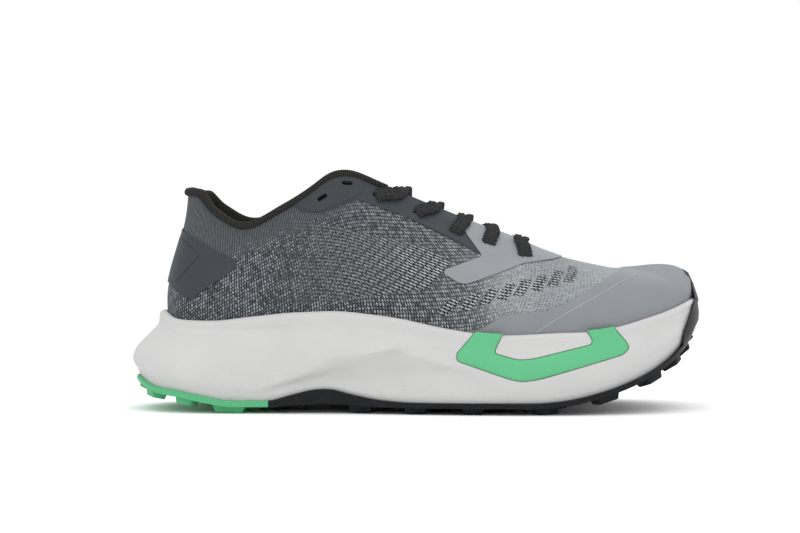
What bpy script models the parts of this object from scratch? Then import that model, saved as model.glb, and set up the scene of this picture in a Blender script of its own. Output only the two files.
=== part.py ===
"""Trail running shoe for the right foot, built piece by piece in metres.

+X runs from the heel to the toe, +Y to the inner (medial) side and +Z up.
The origin is on the floor, under the flat spot of the heel.
"""

import math
from functools import lru_cache

import bmesh
import bpy
import numpy as np
from mathutils import Vector

MM = 0.001

# Driving sizes of the last and the upper
UPPER_LENGTH = 278 * MM
BALL_WIDTH = 98 * MM
INSTEP_HEIGHT = 90 * MM
HEEL_HEIGHT = 81 * MM
HEEL_SETBACK = 45.5 * MM
UPPER_WALL = 1.8 * MM
CUP_DEPTH = 16 * MM
CUP_TAPER = 3 * MM

# Driving sizes of the sole
LUG_DEPTH = 3.3 * MM
RUBBER = 2.0 * MM
FOREFOOT_STACK = 19 * MM
HEEL_DROP = 8.5 * MM
TOE_SPRING = 38.5 * MM
HEEL_SPRING = 10 * MM
ARCH_RISE = 6 * MM
ARCH_RUBBER = 4.2 * MM
SOLE_FLARE = 10 * MM
LIP = 4.2 * MM

# Driving sizes of what is set on or in the shoe
INSOLE = 4.0 * MM
INSOLE_PLAY = 0.6 * MM
FILM = 0.8 * MM
FILM_LIFT = 0.4 * MM
BUMPER_PLAY = 0.8 * MM
INSERT_DEPTH = 2.0 * MM
INSERT_PROUD = 0.5 * MM
COLLAR_PAD = 4.0 * MM
COLLAR_LAP = 3.8 * MM
COLLAR_PLAY = 0.4 * MM
COLLAR_ROLL = 1.5 * MM
LINING_DEPTH = 27 * MM
TONGUE_THICK = 3.6 * MM
TONGUE_DROP = 2.2 * MM
TONGUE_CROWN = 1.6 * MM
TONGUE_TOP = 6 * MM
TONGUE_TUCKS = (12 * MM, 7 * MM, 0.0)
LACE_WIDTH = 6.0 * MM
LACE_THICK = 3.2 * MM
SLOT_LENGTH = 5.6 * MM
SLOT_WIDTH = 2.4 * MM
LACE_PLAY = 1.0 * MM
LACE_TOP_PLAY = 1.5 * MM
LACE_OVER = 0.50
LACE_LEAVE = 0.62
LACE_STOP = 0.80
LACE_LAST_STOP = 0.50
LACE_BAR = 0.6

GAP = 0.3 * MM
HALF_BALL = BALL_WIDTH / 2
HEEL_BACK = -HEEL_SETBACK
SOLE_BASE = LUG_DEPTH + RUBBER + GAP

# Height of the sole along its length. "along" is a share of UPPER_LENGTH from the heel back.
# The others are shares of HEEL_SPRING, ARCH_RISE, TOE_SPRING, HEEL_DROP and, under the foot,
# TOE_SPRING again.
PROFILE_NAMES = ("along", "heel", "arch", "toe", "drop", "toe_floor")
PROFILE = (
    (-0.07, 1.55, 0.00, 0.00, 1.00, 0.00),
    (-0.05, 1.20, 0.00, 0.00, 1.00, 0.00),
    (-0.015, 0.70, 0.00, 0.00, 1.00, 0.00),
    (0.035, 0.47, 0.00, 0.00, 1.00, 0.00),
    (0.085, 0.20, 0.00, 0.00, 1.00, 0.00),
    (0.135, 0.00, 0.00, 0.00, 0.99, 0.00),
    (0.20, 0.00, 0.00, 0.00, 0.93, 0.00),
    (0.24, 0.00, 0.45, 0.00, 0.86, 0.00),
    (0.28, 0.00, 0.90, 0.00, 0.75, 0.00),
    (0.31, 0.00, 1.00, 0.00, 0.66, 0.00),
    (0.35, 0.00, 0.62, 0.00, 0.54, 0.00),
    (0.40, 0.00, 0.20, 0.00, 0.38, 0.00),
    (0.48, 0.00, 0.00, 0.00, 0.18, 0.00),
    (0.56, 0.00, 0.00, 0.00, 0.06, 0.00),
    (0.67, 0.00, 0.00, 0.00, 0.00, 0.00),
    (0.74, 0.00, 0.00, 0.04, 0.00, 0.03),
    (0.80, 0.00, 0.00, 0.14, 0.00, 0.10),
    (0.86, 0.00, 0.00, 0.29, 0.00, 0.22),
    (0.91, 0.00, 0.00, 0.47, 0.00, 0.36),
    (0.95, 0.00, 0.00, 0.68, 0.00, 0.49),
    (0.98, 0.00, 0.00, 0.90, 0.00, 0.57),
    (1.01, 0.00, 0.00, 1.15, 0.00, 0.62),
)

# The upper, one row for each station from the heel back to the toe tip. Bite is where the upper
# meets the sole's lip, edge is the collar, the throat and then the ridge of the vamp.
# x is a share of UPPER_LENGTH, y and gap of half of BALL_WIDTH, z of the heights named above it.
STATION_NAMES = (
    "bite_x", "bite_lat", "bite_med", "bite_z", "edge_x", "ridge_y", "gap_lat", "gap_med",
    "heel_z", "instep_lat", "instep_med",
)
STATIONS = (
    (0.000, 0.00, 0.00, 1.12, 0.038, 0.00, 0.00, 0.00, 1.00, 0.000, 0.000),
    (0.010, 0.27, 0.27, 1.04, 0.044, 0.00, 0.20, 0.20, 0.99, 0.000, 0.000),
    (0.036, 0.49, 0.49, 0.85, 0.064, 0.00, 0.37, 0.37, 0.98, 0.000, 0.010),
    (0.095, 0.64, 0.64, 0.81, 0.100, 0.00, 0.49, 0.49, 0.725, 0.115, 0.155),
    (0.165, 0.70, 0.695, 0.95, 0.156, 0.00, 0.57, 0.56, 0.355, 0.375, 0.415),
    (0.255, 0.735, 0.70, 1.18, 0.226, 0.00, 0.61, 0.58, 0.105, 0.712, 0.730),
    (0.345, 0.785, 0.675, 1.34, 0.292, 0.00, 0.60, 0.57, 0.00, 0.960, 0.965),
    (0.435, 0.855, 0.68, 1.29, 0.345, 0.00, 0.54, 0.53, 0.00, 1.030, 1.030),
    (0.525, 0.93, 0.755, 1.06, 0.415, 0.01, 0.43, 0.43, 0.00, 0.970, 0.970),
    (0.615, 0.985, 0.88, 0.91, 0.500, 0.02, 0.34, 0.34, 0.00, 0.880, 0.880),
    (0.705, 1.01, 0.97, 0.96, 0.586, 0.03, 0.28, 0.28, 0.00, 0.785, 0.785),
    (0.795, 0.97, 0.97, 0.84, 0.660, 0.04, 0.22, 0.22, 0.00, 0.705, 0.705),
    (0.875, 0.84, 0.87, 0.78, 0.718, 0.05, 0.00, 0.00, 0.00, 0.624, 0.624),
    (0.940, 0.59, 0.69, 0.66, 0.790, 0.07, 0.00, 0.00, 0.00, 0.535, 0.535),
    (0.977, 0.25, 0.42, 0.64, 0.855, 0.09, 0.00, 0.00, 0.00, 0.450, 0.450),
    (0.991, -0.10, 0.10, 0.62, 0.905, 0.10, 0.00, 0.00, 0.00, 0.403, 0.403),
)

# How each column of the upper bulges between bite and edge: the pull at the bite, up and outward,
# and at the edge, outward and down. rise and drop are shares of INSTEP_HEIGHT, the others of
# half of BALL_WIDTH.
BULGE_NAMES = ("rise", "swell", "reach", "drop")
BULGES = (
    (0.25, 0.04, 0.00, 0.30),
    (0.25, 0.05, 0.01, 0.28),
    (0.23, 0.06, 0.02, 0.24),
    (0.20, 0.07, 0.02, 0.18),
    (0.19, 0.07, 0.02, 0.17),
    (0.20, 0.06, 0.04, 0.20),
    (0.22, 0.05, 0.08, 0.25),
    (0.27, 0.04, 0.16, 0.29),
    (0.29, 0.03, 0.22, 0.22),
    (0.29, 0.03, 0.29, 0.13),
    (0.27, 0.04, 0.35, 0.09),
    (0.24, 0.06, 0.42, 0.03),
    (0.20, 0.07, 0.49, 0.00),
    (0.16, 0.07, 0.46, 0.00),
    (0.15, 0.06, 0.40, 0.00),
    (0.155, 0.05, 0.38, 0.00),
)

# The sole's side below its lip, one row for each station: how far four lines stand out from the
# bite, as shares of SOLE_FLARE, and how high they lie, as shares of the side's own height.
SIDE_NAMES = (
    "neck_out", "neck_z", "ledge_out", "ledge_z", "hollow_out", "hollow_z", "foot_out", "foot_z",
)
SIDES = (
    (0.46, 0.79, 1.64, 0.42, 1.88, 0.24, 1.54, 0.07),
    (0.46, 0.80, 1.56, 0.42, 1.76, 0.24, 1.46, 0.07),
    (0.45, 0.82, 1.32, 0.40, 1.44, 0.23, 1.24, 0.07),
    (0.45, 0.85, 1.02, 0.37, 1.12, 0.20, 1.02, 0.06),
    (0.42, 0.85, 0.85, 0.33, 0.90, 0.16, 0.80, 0.05),
    (0.40, 0.84, 0.78, 0.28, 0.55, 0.14, 0.55, 0.05),
    (0.40, 0.83, 0.74, 0.47, 0.30, 0.18, 0.45, 0.05),
    (0.40, 0.83, 0.72, 0.63, 0.34, 0.35, 0.58, 0.07),
    (0.40, 0.83, 0.62, 0.52, 0.50, 0.42, 0.68, 0.08),
    (0.40, 0.84, 0.58, 0.50, 0.62, 0.30, 0.60, 0.07),
    (0.40, 0.84, 0.58, 0.50, 0.60, 0.28, 0.52, 0.07),
    (0.40, 0.84, 0.55, 0.50, 0.58, 0.28, 0.45, 0.07),
    (0.35, 0.84, 0.50, 0.50, 0.50, 0.28, 0.35, 0.07),
    (0.31, 0.84, 0.40, 0.50, 0.40, 0.30, 0.25, 0.07),
    (0.26, 0.84, 0.30, 0.50, 0.28, 0.30, 0.10, 0.08),
    (0.22, 0.84, 0.24, 0.50, 0.20, 0.30, 0.00, 0.08),
)

# Lugs on both sides of the middle line, as station, share of the way from there to the sole's
# edge, length and width in millimetres
HEEL_LUGS = (
    (0.00, 0.86, 9, 12),
    (1.35, 0.86, 9, 10),
    (2.40, 0.86, 9, 11),
    (3.45, 0.84, 16, 11),
    (2.20, 0.34, 9, 10),
    (3.50, 0.36, 9, 10),
)
FOREFOOT_LUGS = (
    (6.25, 0.86, 12, 12),
    (7.40, 0.86, 11, 13),
    (8.55, 0.86, 11, 13),
    (10.0, 0.86, 13, 13),
    (11.2, 0.86, 13, 13),
    (12.3, 0.86, 11, 12),
    (13.1, 0.84, 9, 11),
    (13.9, 0.84, 8, 10),
    (15.0, 0.84, 8, 11),
    (7.90, 0.42, 11, 12),
    (9.20, 0.44, 11, 12),
    (10.5, 0.42, 11, 12),
    (11.7, 0.42, 11, 12),
    (12.9, 0.40, 9, 10),
)
LUG_CORNERS = ((-0.5, -0.5), (0.5, -0.38), (0.5, 0.38), (-0.5, 0.5))
HEEL_PAD = Vector((0, 0, 0))
FOREFOOT_PAD = Vector((121 * MM, -1 * MM, 0))
PAD_SIZE = (11 * MM, 14 * MM)
FLOOR = 0.0

TREAD_SPLIT = 10.5 * MM
TREAD_RIM = 2.4 * MM

# The toe bumper's edge, seen from the side, as the overlays' outlines below. The tread climbs so
# many of the side's lines before it is cut: low round the sole, and all of them from BUMPER_START.
BUMPER_START = 12.5
LOW_CLIMB, MIDDLE_CLIMB, FULL_CLIMB = 0.5, 2.0, 10.0
BUMPER = (
    (0.945, -0.150), (0.968, -0.060), (0.985, 0.010), (0.987, 0.110), (0.974, 0.180), (1.05, 0.180),
)

ROWS = len(STATIONS)
LAP = 2 * (ROWS - 1)
TOE = ROWS - 1
THROAT_END = 12.0
COLLAR_END = 8
SPINE_SHARE = 0.83
STEPS_PER_ROW = 2
WALL_ROWS = 5

# Flat overlays, seen from the side: (share of UPPER_LENGTH, share of INSTEP_HEIGHT above the bite)
TOE_CAP = (
    (0.571, -0.40), (0.571, 0.001), (0.621, 0.105), (0.638, 0.122), (0.704, 0.129), (0.738, 0.166),
    (0.813, 0.275), (0.856, 0.306), (0.893, 0.320), (0.903, 0.60), (1.200, 0.600), (1.200, -0.400),
)
EYESTAY_FRONT = (
    (0.519, 0.305), (0.519, 0.327), (0.589, 0.438), (0.559, 0.562), (0.548, 1.200), (0.755, 1.200),
    (0.755, 0.440), (0.720, 0.415), (0.663, 0.401), (0.610, 0.341), (0.562, 0.273), (0.547, 0.265),
)
EYESTAY_REAR = (
    (0.232, 0.620), (0.267, 0.567), (0.297, 0.560), (0.328, 0.595), (0.360, 0.644), (0.397, 0.614),
    (0.448, 0.584), (0.496, 0.546), (0.548, 0.496), (0.5865, 0.445), (0.556, 0.563), (0.545, 1.200),
    (0.200, 1.200),
)
HEEL_COUNTER = (
    (-0.20, 0.220), (-0.03, 0.220), (0.013, 0.168), (0.043, 0.127), (0.056, 0.127), (0.133, 0.276),
    (0.142, 0.297), (0.138, 0.335), (0.102, 0.391), (0.037, 0.502), (-0.03, 0.610), (-0.20, 0.610),
)

# The green side insert, seen from the side: (share of UPPER_LENGTH, share of the sole's side)
SIDE_INSERT = (
    (0.567, 1.300), (0.567, 0.955), (0.540, 0.684), (0.541, 0.591), (0.634, 0.369), (0.657, 0.330),
    (0.690, 0.366), (0.838, 0.530), (0.849, 0.604), (0.845, 0.706), (0.828, 0.924), (0.823, 1.300),
    (0.776, 1.300), (0.776, 0.976), (0.783, 0.858), (0.779, 0.805), (0.677, 0.653), (0.650, 0.639),
    (0.609, 0.737), (0.608, 0.790), (0.617, 0.947), (0.619, 1.300),
)

# Slots for the lace, seen from the side as the outlines above: the top two stay empty
SLOTS = (
    (0.297, 0.642), (0.342, 0.725), (0.397, 0.674), (0.472, 0.616), (0.540, 0.549), (0.601, 0.511),
    (0.667, 0.440),
)
EMPTY_SLOTS = 2
SLOT_CORNERS = ((0.5, 0), (0.3, 0.5), (-0.3, 0.5), (-0.5, 0), (-0.3, -0.5), (0.3, -0.5))


def looped(lateral, medial=None, mirrored=False):
    """Values once round the shoe: heel, outer side, toe, inner side."""
    medial = lateral if medial is None else medial
    sign = -1 if mirrored else 1
    return np.array([sign * v for v in lateral] + list(medial[-2:0:-1]), float)


def column(rows, names, name):
    """One named column of a table."""
    return [row[names.index(name)] for row in rows]


def flowing(values):
    """A closed curve with even curvature through the values at 0, 1, 2 and so on."""
    count = len(values)
    eye = np.eye(count)
    matrix = 4 * eye + np.roll(eye, 1, 1) + np.roll(eye, -1, 1)
    bend = np.linalg.solve(matrix, 6 * (np.roll(values, -1) - 2 * values + np.roll(values, 1)))

    def at(t):
        i = math.floor(t)
        f = t - i
        a, b = values[i % count], values[(i + 1) % count]
        p, q = bend[i % count], bend[(i + 1) % count]
        return a + f * (b - a) - f * (1 - f) * ((2 - f) * p + (1 + f) * q) / 6

    return at


def limited_slopes(left, right):
    """Slopes that never make a curve overshoot the values beside it."""
    even = (left + right) / 2
    limit = 3 * np.minimum(np.abs(left), np.abs(right))
    slopes = np.sign(even) * np.minimum(np.abs(even), limit)
    return np.where(left * right > 0, slopes, 0.0)


def hermite(a, b, slope_a, slope_b, f):
    """A cubic from a to b with the slopes given over the whole step."""
    return (
        a * (1 + 2 * f) * (1 - f) ** 2
        + b * f * f * (3 - 2 * f)
        + slope_a * f * (1 - f) ** 2
        - slope_b * f * f * (1 - f)
    )


def steady(values):
    """A closed curve through the values that never overshoots them."""
    count = len(values)
    slopes = limited_slopes(values - np.roll(values, 1), np.roll(values, -1) - values)

    def at(t):
        i = math.floor(t)
        a, b = i % count, (i + 1) % count
        return hermite(values[a], values[b], slopes[a], slopes[b], t - i)

    return at


def graph(places, values):
    """An open curve over uneven places that never overshoots its values."""
    places, values = np.array(places, float), np.array(values, float)
    step = np.diff(places)
    rate = np.diff(values) / step
    slopes = np.concatenate([[0], limited_slopes(rate[:-1], rate[1:]), [rate[-1]]])

    def at(place):
        i = int(np.clip(np.searchsorted(places, place) - 1, 0, len(step) - 1))
        f = min(max((place - places[i]) / step[i], 0.0), 1.0)
        return hermite(values[i], values[i + 1], slopes[i] * step[i], slopes[i + 1] * step[i], f)

    return at


def profile_curve(name):
    return graph(column(PROFILE, PROFILE_NAMES, "along"), column(PROFILE, PROFILE_NAMES, name))


HEEL_LIFT, ARCH_LIFT, TOE_LIFT, DROP, TOE_FLOOR = (profile_curve(n) for n in PROFILE_NAMES[1:])


def along(x):
    """Where x lies, as a share of UPPER_LENGTH from the heel back."""
    return (x - HEEL_BACK) / UPPER_LENGTH


def place(share):
    """The x of a share of UPPER_LENGTH."""
    return HEEL_BACK + share * UPPER_LENGTH


def sole_bottom(x):
    """Height of the foam's underside."""
    s = along(x)
    lift = HEEL_SPRING * HEEL_LIFT(s) + ARCH_RISE * ARCH_LIFT(s) + TOE_SPRING * TOE_LIFT(s)
    return SOLE_BASE + lift


def bottom_normal(x):
    """The direction that points out of the foam's underside."""
    slope = (sole_bottom(x + MM) - sole_bottom(x - MM)) / (2 * MM)
    return Vector((slope, 0, -1)).normalized()


def tread_base(x, thick=1):
    """Height of the rubber's underside between the lugs, or with thick 0 of its upper face."""
    clear = (GAP + RUBBER * thick) / -bottom_normal(x).z
    return sole_bottom(x) - clear - ARCH_RUBBER * ARCH_LIFT(along(x)) * thick


@lru_cache(None)
def cup_floor(x):
    """Height of the foam under the foot."""
    s = along(x)
    return SOLE_BASE + FOREFOOT_STACK + HEEL_DROP * DROP(s) + TOE_SPRING * TOE_FLOOR(s)


def station_curve(kind, name, medial=None, mirrored=False):
    lateral_side = column(STATIONS, STATION_NAMES, name)
    medial_side = column(STATIONS, STATION_NAMES, medial or name)
    return kind(looped(lateral_side, medial_side, mirrored))


BITE_X = station_curve(flowing, "bite_x")
BITE_Y = station_curve(flowing, "bite_lat", "bite_med", mirrored=True)
BITE_Z = station_curve(steady, "bite_z")
EDGE_X = station_curve(flowing, "edge_x")
RIDGE_Y = station_curve(flowing, "ridge_y")
THROAT_GAP = station_curve(steady, "gap_lat", "gap_med")
HEEL_Z = station_curve(steady, "heel_z")
INSTEP_Z = station_curve(steady, "instep_lat", "instep_med")
RISE, SWELL, REACH, PULL = (steady(looped(column(BULGES, BULGE_NAMES, n))) for n in BULGE_NAMES)
SIDE = {name: steady(looped(column(SIDES, SIDE_NAMES, name))) for name in SIDE_NAMES}


def side_of(t):
    """-1 on the outer side of the shoe, 1 on the inner side."""
    return -1 if t % LAP <= TOE else 1


def row_of(t):
    """The station, 0 at the heel and TOE at the toe tip, on either side."""
    t = t % LAP
    return min(t, LAP - t)


@lru_cache(None)
def bite(t):
    x = place(BITE_X(t))
    return Vector((x, HALF_BALL * BITE_Y(t), cup_floor(x) + CUP_DEPTH * BITE_Z(t)))


@lru_cache(None)
def outward(t):
    """The level direction that points out of the shoe at the bite."""
    step = bite(t + 0.02) - bite(t - 0.02)
    return Vector((step.y, -step.x, 0)).normalized()


def throat_gap(t):
    """Half the throat's width, with a round end at the front."""
    last_open = THROAT_END - 1
    share = min(max(row_of(t) - last_open, 0.0), 1.0)
    if share == 0:
        return HALF_BALL * THROAT_GAP(t)
    at_last_open = last_open if side_of(t) < 0 else LAP - last_open
    return HALF_BALL * THROAT_GAP(at_last_open) * math.sqrt(1 - share * share)


@lru_cache(None)
def edge(t):
    x = place(EDGE_X(t))
    y = HALF_BALL * RIDGE_Y(t) + side_of(t) * throat_gap(t)
    z = cup_floor(x) + HEEL_HEIGHT * HEEL_Z(t) + INSTEP_HEIGHT * INSTEP_Z(t)
    return Vector((x, y, z))


@lru_cache(None)
def ridge_slope(t):
    """The vamp ridge's climb, eased out towards the collar."""
    row = row_of(t)
    weight = min(max((row - 8) / 3, 0.0), 1.0)
    if weight == 0:
        return 0.0
    ahead, behind = edge(min(row + 0.3, TOE)), edge(row - 0.3)
    return weight * (ahead.z - behind.z) / (ahead.x - behind.x)


@lru_cache(None)
def upper_skin(t, v):
    """The upper's outer face. v is -1 at the cup's floor, 0 at the bite and 1 at the edge."""
    start, out = bite(t), outward(t)
    if v < 0:
        foot = start - out * CUP_TAPER * v * v
        foot.z = start.z + v * (start.z - cup_floor(foot.x) - GAP)
        return foot
    end = edge(t)
    handle = start + out * HALF_BALL * SWELL(t)
    handle.z += INSTEP_HEIGHT * RISE(t)
    reach = HALF_BALL * REACH(t)
    pull = end + Vector((out.x, out.y, out.x * ridge_slope(t))) * reach
    pull.z -= INSTEP_HEIGHT * PULL(t)
    w = 1 - v
    return start * w**3 + handle * (3 * w * w * v) + pull * (3 * w * v * v) + end * v**3


@lru_cache(None)
def upper_normal(t, v):
    if v >= 1 and row_of(t) >= THROAT_END:
        return Vector((-ridge_slope(t), 0, 1)).normalized()
    low, high = max(v - 0.02, -1.0), min(v + 0.02, 1.0)
    along_shoe = upper_skin(t + 0.03, v) - upper_skin(t - 0.03, v)
    return along_shoe.cross(upper_skin(t, high) - upper_skin(t, low)).normalized()


def upper_at(t, v, off=0.0):
    """A point at a distance off the upper's outer face."""
    return upper_skin(t, v) + upper_normal(t, v) * off


def wall_at(t, v, off=0.0):
    """The same, on the flat facets between the upper's own rows of points."""
    row = v * WALL_ROWS
    i = min(int(row), WALL_ROWS - 1)
    low, high = upper_at(t, i / WALL_ROWS, off), upper_at(t, (i + 1) / WALL_ROWS, off)
    return low.lerp(high, row - i)


@lru_cache(None)
def below_edge(t, distance):
    """The v that lies a distance down the wall from the edge."""
    left = distance
    for i in range(WALL_ROWS, 0, -1):
        low, high = (i - 1) / WALL_ROWS, i / WALL_ROWS
        length = (upper_skin(t, high) - upper_skin(t, low)).length
        if length >= left:
            return high - (high - low) * left / length
        left -= length
    return 0.0


def side_profile(t):
    """The foam's side from its bottom edge up to the lip, as (out, z) from the bite."""
    top = bite(t)
    foot_out = SOLE_FLARE * SIDE["foot_out"](t)
    bottom = sole_bottom((top + outward(t) * foot_out).x)
    height = top.z - bottom
    lines = [(foot_out - 0.06 * SOLE_FLARE, bottom)]
    for name in ("foot", "hollow", "ledge", "neck"):
        out = SOLE_FLARE * SIDE[name + "_out"](t)
        lines.append((out, bottom + height * SIDE[name + "_z"](t)))
    lip = LIP * min(1.0, 0.35 + SIDE["neck_out"](t) * 1.5)
    lines.append((lip, top.z - 0.10 * height))
    lines.append((lip, top.z - 0.03 * height))
    lines.append((0.45 * lip, top.z + 0.4 * MM))
    return lines


def on_side(t, out, z):
    point = bite(t) + outward(t) * out
    point.z = z
    return point


def spine(t):
    """The middle line of the sole, which both sides' columns end on."""
    row = row_of(t)
    middle = place(0.5)
    x = middle + (bite(row).x - middle) * SPINE_SHARE
    return Vector((x, (bite(row).y + bite(LAP - row).y) / 2, 0))


def steps(first, last, per_row=STEPS_PER_ROW):
    """Stations from first to last, ends included."""
    count = round((last - first) * per_row)
    return [first + (last - first) * i / count for i in range(count + 1)]


def mesh_object(name, verts, faces, collection):
    mesh = bpy.data.meshes.new(name)
    mesh.from_pydata([tuple(v) for v in verts], [], faces)
    shape = bmesh.new()
    shape.from_mesh(mesh)
    bmesh.ops.remove_doubles(shape, verts=shape.verts, dist=0.02 * MM)
    if not any(edge.is_boundary for edge in shape.edges):
        bmesh.ops.recalc_face_normals(shape, faces=shape.faces)
    shape.to_mesh(mesh)
    shape.free()
    obj = bpy.data.objects.new(name, mesh)
    collection.objects.link(obj)
    return obj


def grid_faces(columns, rows, start=0, flip=False, closed=False):
    """Triangles between neighbouring columns of points that are numbered column by column. Their
    diagonals all run one way, so that two skins over the same grid stay parallel."""
    faces = []
    for c in range(columns if closed else columns - 1):
        for r in range(rows - 1):
            a, b = start + c * rows + r, start + (c + 1) % columns * rows + r
            for corners in ((a, b, b + 1), (a, b + 1, a + 1)):
                faces.append(corners[::-1] if flip else corners)
    return faces


def loft(name, columns, collection, closed=False):
    """An open or closed surface through columns of points with equal counts."""
    verts = [p for points in columns for p in points]
    return mesh_object(
        name, verts, grid_faces(len(columns), len(columns[0]), closed=closed), collection
    )


def slab(name, outer, inner, collection, sealed=None, closed=False):
    """A solid between two skins made of columns. sealed: for each column, whether its last point
    meets the column across, so that no wall is needed there. closed: the columns form a ring."""
    columns, rows = len(outer), len(outer[0])
    top, back = rows - 1, columns * rows
    sealed = sealed or [False] * columns
    verts = [p for points in outer + inner for p in points]
    faces = grid_faces(columns, rows, closed=closed)
    faces += grid_faces(columns, rows, back, flip=True, closed=closed)
    for c in range(columns if closed else columns - 1):
        beside = (c + 1) % columns
        a, b = c * rows, beside * rows
        faces.append((a, b, back + b, back + a))
        if not (sealed[c] and sealed[beside]):
            faces.append((a + top, b + top, back + b + top, back + a + top))
    for c in () if closed else (0, columns - 1):
        for r in range(rows - 1):
            a = c * rows + r
            faces.append((a, a + 1, back + a + 1, back + a))
    return mesh_object(name, verts, faces, collection)


def tube(name, rings, collection):
    """A closed solid through rings of points, with flat ends."""
    count, size = len(rings), len(rings[0])
    verts = [p for ring in rings for p in ring]
    faces = [tuple(range(size)), tuple((count - 1) * size + i for i in range(size))]
    for c in range(count - 1):
        for i in range(size):
            j = (i + 1) % size
            faces.append((c * size + i, c * size + j, (c + 1) * size + j, (c + 1) * size + i))
    return mesh_object(name, verts, faces, collection)


def paint(obj, colour, roughness):
    material = bpy.data.materials.new(obj.name)
    material.use_nodes = True
    shader = material.node_tree.nodes["Principled BSDF"]
    shader.inputs["Base Color"].default_value = (*colour, 1)
    shader.inputs["Roughness"].default_value = roughness
    shader.inputs["Metallic"].default_value = 0.0
    obj.data.materials.clear()
    obj.data.materials.append(material)
    return obj


def boolean(obj, other, operation, solver="EXACT"):
    """Cuts or joins two meshes and keeps the result as the first object's own mesh."""
    modifier = obj.modifiers.new(operation.title(), "BOOLEAN")
    modifier.operation = operation
    modifier.solver = solver
    modifier.object = other
    bpy.context.view_layer.update()
    cut = bpy.data.meshes.new_from_object(obj.evaluated_get(bpy.context.evaluated_depsgraph_get()))
    obj.modifiers.clear()
    obj.data = cut
    return obj


def rounded(corners, radius, parts=2):
    """The corners of a closed outline, each turned into a short arc."""
    outline = []
    count = len(corners)
    for i in range(count):
        before, here, after = (Vector(corners[(i + k) % count]) for k in (-1, 0, 1))
        into, out = (before - here), (after - here)
        cut = min(radius, 0.45 * into.length, 0.45 * out.length)
        a, b = here + into.normalized() * cut, here + out.normalized() * cut
        for k in range(parts):
            f = k / (parts - 1)
            outline.append(a * (1 - f) ** 2 + here * 2 * f * (1 - f) + b * f * f)
    return outline


def prism(name, outline, low_y, high_y, collection):
    """A cutter with an outline in X and Z, from low_y to high_y."""
    shape = bmesh.new()
    face = shape.faces.new([shape.verts.new((p[0], low_y, p[1])) for p in outline])
    made = bmesh.ops.extrude_face_region(shape, geom=[face])
    moved = [v for v in made["geom"] if isinstance(v, bmesh.types.BMVert)]
    bmesh.ops.translate(shape, verts=moved, vec=(0, high_y - low_y, 0))
    bmesh.ops.recalc_face_normals(shape, faces=shape.faces)
    mesh = bpy.data.meshes.new(name)
    shape.to_mesh(mesh)
    shape.free()
    obj = bpy.data.objects.new(name, mesh)
    collection.objects.link(obj)
    obj.hide_render = True
    obj.display_type = "WIRE"
    return obj


def bite_height(share):
    """Height of the outer side's bite at a share of UPPER_LENGTH."""
    share = min(max(share, 0.0), 1.0)
    low, high = 0.0, float(TOE)
    for _ in range(30):
        middle = (low + high) / 2
        if BITE_X(middle) < share:
            low = middle
        else:
            high = middle
    return bite(low).z


def upper_outline(rows, radius=2 * MM):
    """An overlay's outline in X and Z."""
    points = [(place(s), bite_height(s) + INSTEP_HEIGHT * h) for s, h in rows]
    return rounded(points, radius)


def insert_outline(rows, radius, grow=0.0):
    """The side insert's outline in X and Z, grown outward by a clearance."""
    points = []
    for s, h in rows:
        low = sole_bottom(place(s))
        points.append(Vector((place(s), low + h * (bite_height(s) - low))))
    if grow:
        count = len(points)
        grown = []
        for i in range(count):
            before, here, after = (points[(i + k) % count] for k in (-1, 0, 1))
            first, second = (here - before).normalized(), (after - here).normalized()
            square = Vector((-first.y - second.y, first.x + second.x))
            size = square.length_squared / 2
            grown.append(here - square * grow / size)
        points = grown
    return rounded(points, radius)


def make_midsole(parts):
    """The foam: a cup that holds the upper, with a sculpted side and a curved underside."""
    columns = []
    for t in steps(0, LAP)[:-1]:
        middle = spine(t)
        side = side_profile(t)
        base = upper_skin(t, -1.0) + outward(t) * GAP
        base.z = cup_floor(base.x)
        mouth = on_side(t, GAP, bite(t).z)
        floor_mid = (base + middle) / 2
        floor_mid.z = cup_floor(floor_mid.x)
        floor_spine = middle.copy()
        floor_spine.z = cup_floor(middle.x)
        points = [floor_spine, floor_mid, base, mouth]
        points += [on_side(t, out, z) for out, z in reversed(side)]
        bottom_edge = on_side(t, *side[0])
        inset = bottom_edge - outward(t) * 2 * MM
        inset.z = sole_bottom(inset.x)
        bottom_mid = (inset + middle) / 2
        bottom_mid.z = sole_bottom(bottom_mid.x)
        bottom_spine = middle.copy()
        bottom_spine.z = sole_bottom(middle.x)
        columns.append(points + [inset, bottom_mid, bottom_spine])
    return paint(loft("midsole", columns, parts, closed=True), (0.78, 0.78, 0.77), 0.6)


def tread_rows(t, climb, thick):
    """One column of the tread from its rim to the spine. climb: how many of the side's lines it
    climbs. thick: 0 on the foam's side and 1 on the ground side."""
    flat = outward(t)
    line = [on_side(t, out, z) for out, z in side_profile(t)[:-1]]
    clear = FILM_LIFT + FILM + BUMPER_PLAY
    line += [upper_at(t, i / WALL_ROWS, clear) for i in range(1, WALL_ROWS)]
    normals = []
    for i in range(len(line)):
        rise = line[min(i + 1, len(line) - 1)] - line[max(i - 1, 0)]
        tilt = Vector((flat.x * rise.z, flat.y * rise.z, -rise.dot(flat)))
        normals.append(tilt.normalized())
    reach = GAP + RUBBER * thick
    rim = []
    for k in range(len(line) - 1, 0, -1):
        at = min(float(k), climb)
        i = min(int(at), len(line) - 2)
        normal = normals[i].lerp(normals[i + 1], at - i).normalized()
        rim.append(line[i].lerp(line[i + 1], at - i) + normal * reach)
    under = bottom_normal(line[0].x)
    mitre = (normals[0] + under) / (1 + normals[0].dot(under))
    corner = line[0] + mitre * reach
    corner.z -= ARCH_RUBBER * ARCH_LIFT(along(corner.x)) * thick
    middle = spine(t)
    inset = line[0] - flat * 2 * MM
    rows = [inset, (inset + middle) / 2, middle]
    for point in rows:
        point.z = tread_base(point.x, thick)
    return rim + [corner] + rows


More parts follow.
